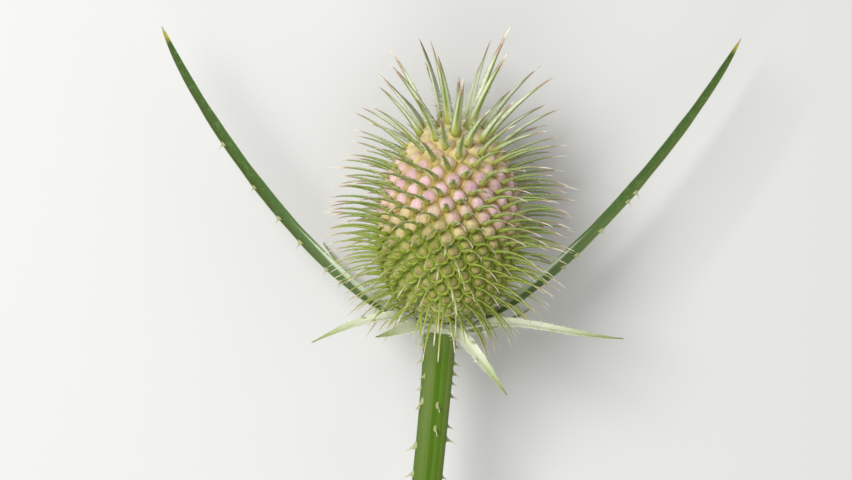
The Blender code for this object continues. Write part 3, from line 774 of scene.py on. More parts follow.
def spine_surface(turns, levels, lines, sizes, chance):
    """Each spine: its section carried along its middle line, narrowing to a point."""
    _, across, up = spine_frames(turns, levels, lines)
    middle = at_places(lines, SPINE_PLACES)
    across = unit(at_places(across, SPINE_PLACES))
    up = unit(at_places(up, SPINE_PLACES))
    half = spine_half_width(levels, sizes, chance)[:, None] * np.array(SPINE_TAPER)
    section = np.array(SPINE_SECTION)
    rings = middle[:, :, None] + half[..., None, None] * (
        section[:, 0, None] * across[:, :, None] + section[:, 1, None] * up[:, :, None])
    places = np.array(SPINE_PLACES)[None, :, None]
    marks = {"along": places, "edge": np.array(SPINE_EDGE), "inner": np.array(SPINE_INNER)}
    return rings, lines[:, 0], lines[:, -1], marks


def hair_skin(name, roots, ways, curl, length, radius, marks, material):
    """Fine hairs: three-sided and pointed, each bent at its middle by a share of its length."""
    side = unit(np.cross(ways, np.array(HAIR_ASIDE)))
    other = np.cross(ways, side)
    flat = turned(np.radians(HAIR_CORNERS), side, other)
    length = length[:, None]
    knee = roots + ways * length * HAIR_KNEE + curl * length * KNEE_CURL
    tips = roots + ways * length + curl * length * TIP_CURL
    rings = np.stack([roots[:, None] + flat * radius,
                      knee[:, None] + flat * radius * KNEE_RADIUS], 1)
    marks = {key: np.asarray(values)[:, None, None] for key, values in marks.items()}
    return skin(name, rings, roots - ways * radius, tips, marks, material)


def spine_hair_roots(turns, levels, lines, sizes, chance, draw):
    """Roots and ways of the hairs along both edges of the spines' lower part."""
    along, across, up = spine_frames(turns, levels, lines)
    count = sizes.hairs_per_spine
    places = draw.uniform(*HAIR_PLACES, (len(levels), count)) ** HAIR_CROWD
    copies = np.arange(len(levels))[:, None]
    spot = places * (lines.shape[1] - 1)
    low = spot.astype(int)
    share = (spot - low)[..., None]

    def read(values):
        return values[copies, low] * (1 - share) + values[copies, low + 1] * share

    half = spine_half_width(levels, sizes, chance)[:, None] * np.interp(
        places, SPINE_PLACES, SPINE_TAPER)
    hand = np.where(np.arange(count) % 2, 1.0, -1.0)[None, :, None]
    aside = unit(read(across))
    over = unit(read(up))
    roots = read(lines) + half[..., None] * (HAIR_OUT * hand * aside + HAIR_UP * over)
    loose = draw.normal(0, WAYS_DIFFER, roots.shape)
    ways = unit(hand * aside * HAIR_WAY_OUT + unit(read(along)) * HAIR_WAY_ALONG + loose)
    curl = draw.normal(0, CURLS_DIFFER, roots.shape)
    level = np.broadcast_to(levels[:, None], places.shape)
    length = sizes.hair_length * draw.uniform(*HAIR_LENGTHS, places.shape)
    length = length * (1 - HAIR_LOSS * places)
    length = length * (1 + HAIR_GAIN * smooth_step(*GAIN_LEVELS, level))
    most = SPARSE + (1 - SPARSE) * smooth_step(*SPARSE_LEVELS, level)
    stands = draw.uniform(0, 1, level.shape) < most
    return [values[stands] for values in (roots, ways, curl, length, level)]


# Surfaces of the bracts and the stem

# Powers that spread a bract's rings at its root and crowd them at its tip, and the first
# and last of their places.
SPREAD_ROOT, CROWD_TIP = 0.9, 1.15
BLADE_START, BLADE_END = -0.02, 0.999
# The waves of its edges: radians from root to tip, and height over its half width.
SLOW_WAVE, FAST_WAVE = (37, 0.03), (71, 0.018)
# The rib underneath and the groove above: height, and width over the half width; and
# the half width below which a blade thins.
RIB_HEIGHT, RIB_WIDTH = 0.28 * MM, 0.16
GROOVE_DEPTH, GROOVE_WIDTH = 0.10 * MM, 0.14
THINS_BELOW = 0.9 * MM
# How far a bract's ends close beyond its last rings, and how far its point lifts.
END_OUT, POINT_OUT, POINT_UP = 0.1 * MM, 0.5 * MM, 0.1 * MM
# Fringe hairs: their places along the blade and across it, their way out and ahead, how
# much ways and curls differ, lengths in millimetres and what they lose to the tip.
FRINGE_PLACES, FRINGE_ACROSS = (0.02, 0.8), 0.97
FRINGE_OUT, FRINGE_AHEAD = 0.9, 0.4
FRINGE_WAYS, FRINGE_CURLS = 0.3, 0.5
FRINGE_LENGTHS, FRINGE_LOSS = (0.5, 1.5), 0.6
# The stem: the share of it over which its ribs rise, the finer ribs on them as waves to
# a rib and height, and the power that crowds its rings towards the top.
RIBS_RISE = 0.05
FINE_RIB, FINEST_RIB = (3, 0.06 * MM), (7, 0.02 * MM)
STEM_CROWD = 1.3
# How far its first two rings go up into the flower head, and its end beyond the first.
STEM_TOP_RISE = (1.3 * MM, 0.5 * MM)
STEM_END_RISE = 0.3 * MM
# Rings of the stem's cut: their reach over the stem's radius, their height over the cut in
# millimetres, and how much of the pith's colour they take.
CUT_REACH = (0.965, 0.80, 0.78, 0.4)
CUT_RISE = (0.0, 0.03, -0.18, -0.22)
CUT_PITH = (0.0, 0.35, 0.9, 1.0)
# Rings of a prickle: their height over its length, and their radius over its root's.
PRICKLE_HEIGHTS = (-0.16, 0.0, 0.14, 0.36, 0.62, 0.85)
PRICKLE_WIDTHS = (1.25, 1.0, 0.55, 0.34, 0.23, 0.13)
PRICKLE_AROUND = 8
# How far its middle hooks over, its tip and its root's end over its length, and how much
# it is stretched along the rib at these heights.
PRICKLE_HOOK = 0.26
PRICKLE_TIP, TIP_HOOK, PRICKLE_TAIL = 1.02, 0.30, 0.2
STRETCH_HEIGHTS, STRETCH = (-0.16, 0.14, 0.5), (2.1, 1.5, 1.0)
# Rings of the collar: their radius and their place along the head's axis, in millimetres.
COLLAR_RADII = (3.2, 4.0, 4.75, 5.0, 4.6, 3.6)
COLLAR_HEIGHTS = (-25.6, -25.55, -25.0, -24.2, -23.4, -23.0)
COLLAR_AROUND = 64
# Its lobes and how much they stand out, the stripes of its finish and how strong they are,
# and the place along a bract whose colour it has.
COLLAR_LOBES, COLLAR_LOBE_RISE = 8, 0.05
COLLAR_STRIPES, COLLAR_STRIPE = 16, 0.6
COLLAR_PLACE = 0.02
# Rings along the stem and points round one.
STEM_GRID = (88, 128)


def blade_surface(name, rows, columns, sizes):
    """A bract: across from -1 to 1 and back, bent to a channel as the square of across, its
    thickness falling to the edge as 1 - across^2, with a rib along the middle underneath."""
    *_, full, _, _ = BRACTS[name]
    t = 1 - (1 - np.linspace(0, 1, rows) ** SPREAD_ROOT) ** CROWD_TIP
    t = np.clip(np.concatenate([[BLADE_START], t]), BLADE_START, BLADE_END)
    middle, side, up = blade_frame(name, t)
    half = blade_half_width(name, t)
    wave = (np.sin(t * SLOW_WAVE[0] + full * 9) * SLOW_WAVE[1]
            + np.sin(t * FAST_WAVE[0]) * FAST_WAVE[1])
    across = np.cos(np.linspace(0, 2 * math.pi, columns, endpoint=False))
    above = np.sign(np.round(np.sin(np.linspace(0, 2 * math.pi, columns, endpoint=False)), 6))
    fold = blade_fold(name, t)[:, None] * across**2
    slim = np.minimum(1, half / THINS_BELOW)[:, None]
    thick = (sizes.blade_edge + (BLADE_THICKNESS - sizes.blade_edge) * (1 - across**2)) * slim
    rib = RIB_HEIGHT * np.exp(-((across / RIB_WIDTH) ** 2)) * (above < 0) * slim
    groove = GROOVE_DEPTH * np.exp(-((across / GROOVE_WIDTH) ** 2)) * (above > 0) * slim
    out = half[:, None] * across * (1 + wave[:, None])
    lift = half[:, None] * fold + above * thick / 2 - rib - groove
    rings = middle[:, None] + out[..., None] * side[:, None] + lift[..., None] * up[:, None]
    # The edge that looks in to the flower head is +1 on a left bract and -1 on a right one.
    hand = np.full(1, 1.0 if middle[-1, 0] < 0 else -1.0)
    marks = {"along": t[None, :, None], "edge": across[None, None], "hand": hand}
    tail = middle[0] - unit(middle[1] - middle[0]) * END_OUT
    tip = middle[-1] + unit(middle[-1] - middle[-2]) * POINT_OUT + up[-1] * POINT_UP
    return rings[None], tail, tip, marks


def edge_prickles(name):
    """Roots and ways of the prickles along the edges of a bract, and the way along."""
    t = np.abs(EDGE_PRICKLES[name])
    turn = BRACTS[name][0]
    outer = math.copysign(1, turn) * np.sign(EDGE_PRICKLES[name])[:, None]
    middle, side, up = blade_frame(name, t)
    half = blade_half_width(name, t)[:, None]
    fold = blade_fold(name, t)[:, None] * EDGE_ACROSS**2
    ahead = np.cross(up, side)
    ways = unit(outer * side - EDGE_BACK * ahead - EDGE_DOWN * up)
    return middle + half * (outer * EDGE_ACROSS * side + fold * up), ways, ahead


def fringe_roots(name, draw):
    """Roots, ways, curls and lengths of the fine hairs along both edges of a short bract."""
    t = draw.uniform(*FRINGE_PLACES, FRINGE_HAIRS)
    middle, side, up = blade_frame(name, t)
    hand = np.where(np.arange(len(t)) % 2, 1.0, -1.0)[:, None]
    half = blade_half_width(name, t)[:, None]
    fold = blade_fold(name, t)[:, None]
    roots = middle + side * half * hand * FRINGE_ACROSS + up * half * fold
    ahead = np.cross(side, up)
    loose = draw.normal(0, FRINGE_WAYS, roots.shape)
    ways = unit(side * hand * FRINGE_OUT + ahead * FRINGE_AHEAD + loose)
    length = draw.uniform(*FRINGE_LENGTHS, len(t)) * MM * (1 - FRINGE_LOSS * t)
    return roots, ways, draw.normal(0, FRINGE_CURLS, roots.shape), length


def stem_line(t):
    """Middle line of the stem from under the flower head, at 0, to the cut, at 1."""
    top = HEAD_CENTRE + AXIS * (BASE_LEVEL * HEAD_HALF_LENGTH - STEM_GAP)
    return bezier(np.vstack([top, np.array(STEM_POINTS) * MM]), t)


def stem_frame(t):
    """Middle of the stem at t, two unit directions square to it, and the way along."""
    along = unit(stem_line(t + STEP) - stem_line(t - STEP))
    side = unit(np.cross(along, FRONT))
    return stem_line(t), side, np.cross(side, along), along


def stem_radius(t, turn):
    """Four ribs as the cosine of four turns, with finer cosines on them, and a flare under
    the flower head that falls as (1 - t)^3."""
    phase = STEM_RIBS * (turn - STEM_RIB_TURN)
    fine, fine_height = FINE_RIB
    finest, finest_height = FINEST_RIB
    ribs = np.cos(phase) * STEM_RIB_HEIGHT * np.clip(t / RIBS_RISE, 0, 1)
    ribs = ribs + fine_height * np.cos(fine * phase)
    ribs = ribs + finest_height * np.sin(finest * phase + 2)
    return STEM_RADIUS + STEM_FLARE * (1 - t) ** 3 + ribs


def stem_surface():
    """The ribbed section carried down the stem's line, closed by a flat cut with its pith."""
    rows, around = STEM_GRID
    t = np.concatenate([[0.0, 0.0], np.linspace(0, 1, rows) ** STEM_CROWD])
    turn = np.linspace(0, 2 * math.pi, around, endpoint=False)
    middle, side, front, along = stem_frame(t)
    middle[:2] += np.multiply.outer(STEM_TOP_RISE, AXIS)
    radius = stem_radius(t[:, None], turn[None])
    ways = turned(turn, front, side)
    rings = middle[:, None] + radius[..., None] * ways
    shares = np.array(CUT_REACH)
    sunk = np.array(CUT_RISE) * MM
    cut = (middle[-1] + sunk[:, None] * along[-1])[:, None] + (
        shares[:, None] * radius[-1])[..., None] * ways[-1]
    rings = np.concatenate([rings, cut])
    marks = {
        "along": np.concatenate([t, np.ones(len(shares))])[None, :, None],
        "rib": np.cos(STEM_RIBS * (turn - STEM_RIB_TURN))[None, None],
        "pith": np.concatenate([np.zeros(len(t)), CUT_PITH])[None, :, None],
    }
    top, end = middle[0] + AXIS * STEM_END_RISE, middle[-1] + sunk[-1] * along[-1]
    return rings[None], top, end, marks


def stem_prickles():
    """Roots and ways of the prickles, each slanting back, and the way down the stem."""
    turn = np.radians([side for side, places in STEM_PRICKLES.items() for _ in places])
    t = np.concatenate(list(STEM_PRICKLES.values()))
    middle, side, front, along = stem_frame(t)
    out = np.sin(turn)[:, None] * side + np.cos(turn)[:, None] * front
    roots = middle + stem_radius(t, turn)[:, None] * out
    stray = np.random.default_rng(STRAY_SEED).normal(0, PRICKLE_STRAY, (len(t), 1))
    slant = PRICKLE_SLANT + stray
    return roots, out * np.cos(slant) + along * np.sin(slant), along


def prickle_surface(roots, ways, downs, scale, sizes):
    """Hooked thorns: circles that shrink along a way bent down as the square of the height,
    stretched along the rib at the root."""
    height = np.array(PRICKLE_HEIGHTS)
    wide = np.array(PRICKLE_WIDTHS) * sizes.prickle_radius
    turning = np.linspace(0, 2 * math.pi, PRICKLE_AROUND, endpoint=False)
    downs = unit(downs - ways * (downs * ways).sum(1, keepdims=True))
    beside = np.cross(ways, downs)
    scale = scale[:, None, None]
    middle = roots[:, None] + scale * sizes.prickle_length * (
        height[:, None] * ways[:, None]
        + PRICKLE_HOOK * (height**2)[:, None] * downs[:, None])
    stretch = np.interp(height, STRETCH_HEIGHTS, STRETCH)
    flat = (np.cos(turning)[None, None, :, None] * stretch[None, :, None, None]
            * downs[:, None, None]
            + np.sin(turning)[None, None, :, None] * beside[:, None, None])
    rings = middle[:, :, None] + scale[..., None] * wide[None, :, None, None] * flat
    tall = scale[:, 0] * sizes.prickle_length
    tips = roots + tall * (PRICKLE_TIP * ways + TIP_HOOK * downs)
    tails = roots - tall * PRICKLE_TAIL * ways
    return rings, tails, tips, {"along": height[None, :, None]}


def collar_surface():
    """A low ring round the stem's top: a flattened circle carried round the head's axis."""
    turning = np.linspace(0, 2 * math.pi, COLLAR_AROUND, endpoint=False)
    radius = np.array(COLLAR_RADII) * MM
    height = np.array(COLLAR_HEIGHTS) * MM
    lobes = 1 + COLLAR_LOBE_RISE * np.cos(COLLAR_LOBES * turning)[None]
    rings = ((HEAD_CENTRE + height[:, None] * AXIS)[:, None]
             + (radius[:, None] * lobes)[..., None] * outward(turning)[None])
    ends = HEAD_CENTRE + AXIS * height[[0, -1], None]
    stripes = np.cos(COLLAR_STRIPES * turning)[None, None] * COLLAR_STRIPE
    marks = {"along": np.full(1, COLLAR_PLACE), "edge": stripes}
    return rings[None], ends[0], ends[1], marks


# Finishes

# Colours that the finishes mix in beside those of the sidebar.
PIT_BROWN = screen(120, 84, 40)
LOW_BROWN = screen(160, 118, 84)
CREASE_BROWN = screen(150, 96, 90)
FLUFF_WHITE = screen(248, 238, 222)
# Olive of the cups' walls and floors, darkened as painted shade for the gaps under the buds
CUP_OLIVE_AND_SHADE = screen(134, 150, 46)
CUP_OLIVE_AND_DEEP_SHADE = screen(110, 120, 42)
# Lime of the cups' lips, brightened as a painted highlight
CUP_RIM_AND_HIGHLIGHT = screen(172, 186, 76)
LOW_SPINE = screen(166, 178, 76)
LOW_SPINE_TIP = screen(212, 202, 156)
PALE_FOOT = screen(174, 182, 90)
FLANK_RIM = screen(186, 200, 132)
SPINE_STREAK = screen(86, 106, 30)
HAIR_GREY = screen(226, 230, 206)
HAIR_WHITE = screen(244, 240, 228)
# Green of a long bract's outer half, its own colour made lighter with painted light against its
# shade
OUTER_LEAF_AND_PAINTED_LIGHT = screen(78, 99, 40)
LEAF_CLOUD = screen(108, 142, 80)
LEAF_MIDDLE = screen(60, 84, 24)
# Painted light that lifts the shade near a long bract's root
LEAF_ROOT_PAINTED_LIGHT = screen(140, 162, 112)
LEAF_BAND = screen(204, 214, 190)
LEAF_STRAW = screen(186, 176, 80)
LEAF_POINT = screen(214, 208, 186)
LEAF_SPECK = screen(170, 184, 120)
SHORT_PALE = screen(226, 230, 210)
SHORT_VEIN = screen(184, 196, 148)
SHORT_CLOUD = screen(166, 182, 124)
SHORT_GREEN = screen(146, 168, 70)
SHORT_STRAW = screen(176, 170, 84)
SHORT_SPECK = screen(232, 238, 214)
STEM_STREAK = screen(78, 106, 30)
STEM_TOP = screen(150, 164, 104)
STEM_SPECK = screen(170, 184, 110)
PITH_WHITE = screen(236, 234, 208)
PITH_GREEN = screen(206, 210, 164)
PRICKLE_FOOT = screen(158, 164, 110)
PRICKLE_PALE = screen(188, 184, 154)
FLOOR_TOOTH = screen(214, 214, 210)


class Wire:
    """An output of a finish's nodes; sums and products of wires add their Math nodes."""

    def __init__(self, finish, socket):
        self.finish = finish
        self.socket = socket

    def maths(self, operation, *values):
        """The Math node of this operation on the wire and the values after it."""
        inputs = dict(enumerate((self, *values)))
        return self.finish.node("Math", {"operation": operation}, inputs)

    def __add__(self, other):
        return self.maths("ADD", other)

    __radd__ = __add__

    def __mul__(self, other):
        return self.maths("MULTIPLY", other)

    __rmul__ = __mul__

    def __sub__(self, other):
        return self.maths("SUBTRACT", other)

    def __rsub__(self, other):
        return self.finish.node("Math", {"operation": "SUBTRACT"}, {0: other, 1: self})

    def __abs__(self):
        return self.maths("ABSOLUTE")

    def wave(self):
        """The value's sine, brought between 0 and 1."""
        return self.maths("SINE") * 0.5 + 0.5

    def between(self, low, high):
        """0 below low, 1 above high, smooth between them."""
        return self.finish.node("MapRange", {"interpolation_type": "SMOOTHSTEP"},
                                {0: self, 1: low, 2: high, 3: 0.0, 4: 1.0})


class Finish:
    """A material and its nodes, read from the piece's own marks and object coordinates."""

    def __init__(self, name, gloss=None):
        self.material = bpy.data.materials.new(name)
        self.material.use_nodes = True
        self.tree = self.material.node_tree
        self.shader = self.tree.nodes["Principled BSDF"]
        for key, value in (gloss or {}).items():
            self.shader.inputs[key].default_value = value
        self.place = self.node("TexCoord", output="Object")

    def node(self, kind, settings=None, inputs=None, output=0):
        """A new node of a kind: its settings first, then the value or wire of each socket."""
        node = self.tree.nodes.new("ShaderNode" + kind)
        for key, value in (settings or {}).items():
            if key == "stops":
                ramp = node.color_ramp.elements
                while len(ramp) < len(value):
                    ramp.new(1.0)
                for stop, (position, colour) in zip(ramp, value):
                    stop.position = position
                    stop.color = (*colour, 1)
            else:
                setattr(node, key, value)
        for key, value in (inputs or {}).items():
            self.feed(node.inputs[key], value)
        return Wire(self, node.outputs[output])

    def feed(self, socket, value):
        """Links a wire to a socket, or sets the socket to a colour or number."""
        if isinstance(value, Wire):
            self.tree.links.new(value.socket, socket)
        elif socket.type == "RGBA":
            socket.default_value = (*value, 1)
        else:
            socket.default_value = value

    def marks(self, *names):
        """The numbers kept on the piece's points under these names."""
        return [self.node("Attribute", {"attribute_name": name}, output="Fac")
                for name in names]

    def noise(self, scale, detail=2.0, place=None):
        """Soft noise from 0 to 1, scale features to the metre."""
        return self.node("TexNoise", {}, {"Vector": place or self.place, "Scale": scale,
                                          "Detail": detail})

    def stretched(self, x, y, z):
        """Object coordinates scaled along each axis."""
        return self.node("VectorMath", {"operation": "MULTIPLY"}, {0: self.place, 1: (x, y, z)})

    def blend(self, share, first, second):
        """Mixes two colours by a share."""
        return self.node("Mix", {"data_type": "RGBA"}, {0: share, 6: first, 7: second}, output=2)

    def coats(self, shade, *coats):
        """Lays colours over a first one, in turn, each by its share."""
        for share, colour in coats:
            shade = self.blend(share, shade, colour)
        return shade

    def use(self, colour, roughness, height=None, depth=0.0):
        """Feeds the shader: its colour, roughness and a bump that is depth metres high."""
        self.feed(self.shader.inputs["Base Color"], colour)
        self.feed(self.shader.inputs["Roughness"], roughness)
        if height is not None:
            bump = self.node("Bump", {}, {"Strength": 1.0, "Distance": depth, "Height": height})
            self.feed(self.shader.inputs["Normal"], bump)
        return self.material


def core_finish(tones):
    """Tan above, peach in the pink band and olive below, with dark pits between the buds."""
    finish = Finish("core tissue", {"Specular IOR Level": 0.25})
    (level,) = finish.marks("level")
    grain = finish.noise(1900, 3)
    stops = ((0.0, tones.mint), (0.12, tones.olive), (0.45, tones.olive),
             (0.6, tones.peach), (0.8, tones.tan), (1.0, tones.lime))
    shade = finish.node("ValToRGB", {"stops": stops}, {0: level * 0.5 + 0.5})
    shade = finish.blend(grain.between(0.35, 0.7) * 0.6, shade, PIT_BROWN)
    return finish.use(shade, 0.75 + 0.1 * grain, grain, 0.2 * MM)


def bud_finish(tones):
    """Velvety buds: pink in their band, peach at the foot, rosy brown below, tan above."""
    finish = Finish("bud velvet", {
        "Sheen Weight": 0.35, "Sheen Roughness": 0.4, "Specular IOR Level": 0.3,
        "Subsurface Weight": 0.12, "Subsurface Scale": 1.2 * MM})
    level, height, chance, seam_x, seam_y = finish.marks(
        "level", "height", "chance", "seam_x", "seam_y")
    drift = finish.noise(150, 1)
    fluff = finish.noise(5200, 2)
    grain = finish.noise(2600, 3)
    place = level + (drift - 0.5) * 0.22 + (chance - 0.5) * 0.14
    in_band = place.between(-0.04, 0.16) * (1 - place.between(0.40, 0.66) * 0.65)
    below = 1 - place.between(-0.34, -0.04)
    rosy = finish.blend(chance.between(0.45, 1.0), tones.pink, tones.mauve)
    brown = finish.blend(chance.between(0.5, 0.95) * 0.7, tones.rosy_brown, LOW_BROWN)
    dome = finish.coats(tones.tan, (in_band, rosy), (below, brown))
    rise = height + (drift - 0.5) * 0.3 - 0.35 * below
    seam = abs(seam_x).maths("MINIMUM", abs(seam_y))
    crease = (1 - seam.between(0.0, 0.16)) * height.between(0.55, 0.9)
    shade = finish.coats(
        tones.peach,
        (below, tones.olive),
        (rise.between(0.25, 0.85), dome),
        (crease * 0.18, CREASE_BROWN),
        (fluff.between(0.45, 0.75) * 0.36, FLUFF_WHITE))
    return finish.use(shade, 0.62 + 0.2 * fluff, grain * 0.7 + fluff * 0.3 - crease * 0.35,
                      0.16 * MM)


def cup_finish(tones):
    """Lime cups with pale rims, tanned where the pink band stands; their olive walls are darkened
    as painted shade and the rims lightened as a painted highlight.
    """
    finish = Finish("cup green", {"Specular IOR Level": 0.35})
    level, rim, chance = finish.marks("level", "rim", "chance")
    grain = finish.noise(1700, 3)
    place = level + (finish.noise(220, 1) - 0.5) * 0.3
    band = place.between(-0.22, 0.1)
    flush = (1 - rim.between(0.0, 0.4)) * level.between(0.45, 0.6) * chance
    shade = finish.coats(
        # olive walls and floors with painted shade, mottled by noise
        CUP_OLIVE_AND_SHADE,
        (grain.between(0.3, 0.75), CUP_OLIVE_AND_DEEP_SHADE),
        (band * (0.55 + 0.45 * chance), tones.peach),
        (place.between(0.42, 0.66), tones.tan),
        # the lip's own lime with a painted highlight
        (rim.between(0.4, 1.0) * (0.8 - 0.55 * band), CUP_RIM_AND_HIGHLIGHT),
        (flush * 0.55, tones.mauve),
        ((1 - level.between(-0.98, -0.72)) * 0.5, tones.mint))
    return finish.use(shade, 0.5 + 0.2 * grain, grain, 0.1 * MM)


def spine_finish(tones):
    """Green spines with pale edges, lime at the foot, rose brown further out, white tips."""
    finish = Finish("spine green", {"Specular IOR Level": 0.3})
    along, edge, inner, level, chance = finish.marks(
        "along", "edge", "inner", "level", "chance")
    grain = finish.noise(900, 2)
    streak = finish.noise(2400, 2)
    low = 1 - (level + (chance - 0.5) * 0.2).between(-0.35, 0.12)
    crown = level.between(0.5, 0.85)
    pale = (edge + 0.15 * crown).between(0.2, 0.75)
    pale = pale.maths("MAXIMUM", inner.between(0.2, 0.65) * 0.9)
    pale = pale * (1 - along.between(0.55, 0.9)) * (0.5 + 0.45 * crown) * (1 - 0.65 * low)
    brown = along + (grain - 0.5) * 0.25 + (chance - 0.5) * 0.2 - 0.06 * crown
    shade = finish.coats(
        tones.lime,
        (level.between(-0.1, 0.3), PALE_FOOT),
        (along.between(0.10, 0.34), finish.blend(low * 0.9, tones.spine_green, LOW_SPINE)),
        (pale * along.between(0.05, 0.2), finish.blend(crown, FLANK_RIM, tones.mint)),
        (brown.between(0.58, 0.8) * 0.75,
         finish.blend(low * 0.75, tones.tip_brown, LOW_SPINE_TIP)),
        (brown.between(0.76, 0.92), tones.tip_white),
        (streak.between(0.5, 0.8) * 0.12, SPINE_STREAK))
    return finish.use(shade, 0.38 + 0.25 * streak, streak, 0.06 * MM)


def hair_finish(tones):
    """Dull white hairs, a little greener near the flower head's base."""
    finish = Finish("hair white", {"Specular IOR Level": 0.3})
    (level,) = finish.marks("level")
    tint = finish.noise(700, 1)
    shade = finish.coats(
        HAIR_GREY,
        (tint.between(0.3, 0.7), HAIR_WHITE),
        ((1 - level.between(-0.9, 0.2)) * 0.35, tones.mint))
    return finish.use(shade, 0.55 + 0.1 * tint)


def long_blade_finish(tones):
    """A long bract: fine veins, a dark middle line, a pale band near its root on the half
    that looks in to the flower head, a straw-coloured tip; its outer half and its root are
    lightened with painted light that lifts their shade."""
    finish = Finish("long leaf green", {"Specular IOR Level": 0.3})
    along, edge, hand = finish.marks("along", "edge", "hand")
    inward = edge * hand
    across = abs(edge)
    grain = finish.noise(700, 3)
    fine = finish.noise(3200, 2)
    veins = (edge * 30.0 + grain * 2.2).wave()
    reach = 1 - (along + (grain - 0.5) * 0.08).between(0.17, 0.58)
    aside = abs(inward - 0.45 - 0.3 * reach) * (2.4 - 1.4 * reach) + 1 - reach
    tip = along + (grain - 0.5) * 0.02
    shade = finish.coats(
        # outer half: its own green lightened with painted light
        OUTER_LEAF_AND_PAINTED_LIGHT,
        (inward.between(-0.12, 0.12), tones.leaf),
        (veins.between(0.25, 0.95) * 0.35 + grain * 0.15, tones.leaf_dark),
        (grain.between(0.5, 0.72) * 0.3, LEAF_CLOUD),
        ((1 - across.between(0.03, 0.13)) * 0.5, LEAF_MIDDLE),
        # painted light near the root, lifting its shade
        (reach * 0.35, LEAF_ROOT_PAINTED_LIGHT),
        ((1 - aside.between(0.35, 0.9)) * 0.85, LEAF_BAND),
        (across.between(0.84, 1.0) * 0.25, tones.mint),
        (tip.between(0.945, 0.975), LEAF_STRAW),
        (tip.between(0.98, 0.998), LEAF_POINT),
        (fine.between(0.55, 0.8) * 0.14, LEAF_SPECK))
    return finish.use(shade, 0.42 + 0.2 * grain, veins * 0.6 + fine * 0.4, 0.09 * MM)


def short_blade_finish():
    """A short bract: mint white with fine green veins and specks, yellow-green at its tip."""
    finish = Finish("short leaf green", {"Specular IOR Level": 0.35})
    along, edge = finish.marks("along", "edge")
    grain = finish.noise(900, 3)
    fine = finish.noise(3000, 2)
    veins = (edge * 26.0 + grain * 2.6).wave()
    shade = finish.coats(
        SHORT_PALE,
        (veins.between(0.2, 0.95) * 0.4, SHORT_VEIN),
        (grain.between(0.45, 0.75) * 0.3, SHORT_CLOUD),
        (along.between(0.5, 0.95) * 0.75, SHORT_GREEN),
        ((along + (grain - 0.5) * 0.06).between(0.93, 0.99), SHORT_STRAW),
        (fine.between(0.5, 0.75) * 0.35, SHORT_SPECK))
    return finish.use(shade, 0.48 + 0.2 * grain, veins * 0.5 + fine * 0.5, 0.1 * MM)


def stem_finish(tones):
    """Pale grey-green ribs over bright grooves, fine streaks along, white pith in the cut."""
    finish = Finish("stem green", {"Specular IOR Level": 0.22})
    rib, pith, along = finish.marks("rib", "pith", "along")
    streak = finish.noise(1.0, 3, finish.stretched(1500, 120, 1500))
    speck = finish.noise(2600, 2)
    ribs = finish.blend(along.between(0.25, 0.95) * 0.6, tones.stem, tones.groove)
    shade = finish.coats(
        tones.groove,
        ((rib + (streak - 0.5) * 0.5).between(-0.3, 0.4), ribs),
        (streak.between(0.5, 0.75) * 0.25, STEM_STREAK),
        ((1 - along.between(0.02, 0.25)) * 0.3, STEM_TOP),
        (speck.between(0.6, 0.8) * 0.1, STEM_SPECK),
        (pith.between(0.2, 0.8), finish.blend(speck, PITH_WHITE, PITH_GREEN)))
    return finish.use(shade, 0.40 + 0.25 * speck, streak * 0.6 + speck * 0.4, 0.12 * MM)


def prickle_finish(tones):
    """Grey-green prickles with pale points."""
    finish = Finish("prickle", {"Specular IOR Level": 0.5})
    (along,) = finish.marks("along")
    grain = finish.noise(1800, 2)
    shade = finish.coats(
        PRICKLE_FOOT,
        (along.between(0.1, 0.5) + (grain - 0.5) * 0.2, PRICKLE_PALE),
        (along.between(0.6, 0.95), tones.tip_white))
    return finish.use(shade, 0.35 + 0.2 * grain, grain, 0.04 * MM)


def floor_finish(tones):
    """A plain pale floor with a very faint mottle."""
    finish = Finish("floor")
    tooth = finish.noise(60, 2)
    return finish.use(finish.blend(tooth * 0.06, tones.floor, FLOOR_TOOTH), 0.85 + 0.05 * tooth)


# Operators

def settings(context):
    """The sizes and colours that the sidebar shows."""
    return context.scene.teasel_sizes, context.scene.teasel_colours


def florets():
    """Turns, levels, distances and one random number from 0 to 1 of every floret."""
    turns, levels = floret_sites()
    pitch = floret_pitch(egg_point(turns, levels))
    return turns, levels, pitch, np.random.default_rng(FLORET_SEED).uniform(0, 1, len(turns))


class TEASEL_OT_buds(bpy.types.Operator):
    """The flower head's core, its buds and the cup below each bud"""

    bl_idname = "teasel.buds"
    bl_label = "Core, Buds and Cups"
    bl_options = {"REGISTER", "UNDO"}

    def execute(self, context):
        sizes, tones = settings(context)
        turns, levels, pitch, chance = florets()
        rings, tail, head, level = core_surface()
        core = skin("teasel_core", rings, tail, head, {"level": level}, core_finish(tones))
        own = {"level": levels[:, None, None], "chance": chance[:, None, None]}
        rings, tail, head, marks = bud_surface(turns, levels, pitch, sizes, chance)
        buds = skin("teasel_buds", rings, tail, head, {**marks, **own}, bud_finish(tones))
        rings, tail, head, marks = cup_surface(turns, levels, pitch, sizes, chance)
        cups = skin("bud_cups", rings, tail, head, {**marks, **own}, cup_finish(tones))
        for piece in (core, buds, cups):
            stand_for(piece, "head_green", "flower_head")
        return {"FINISHED"}


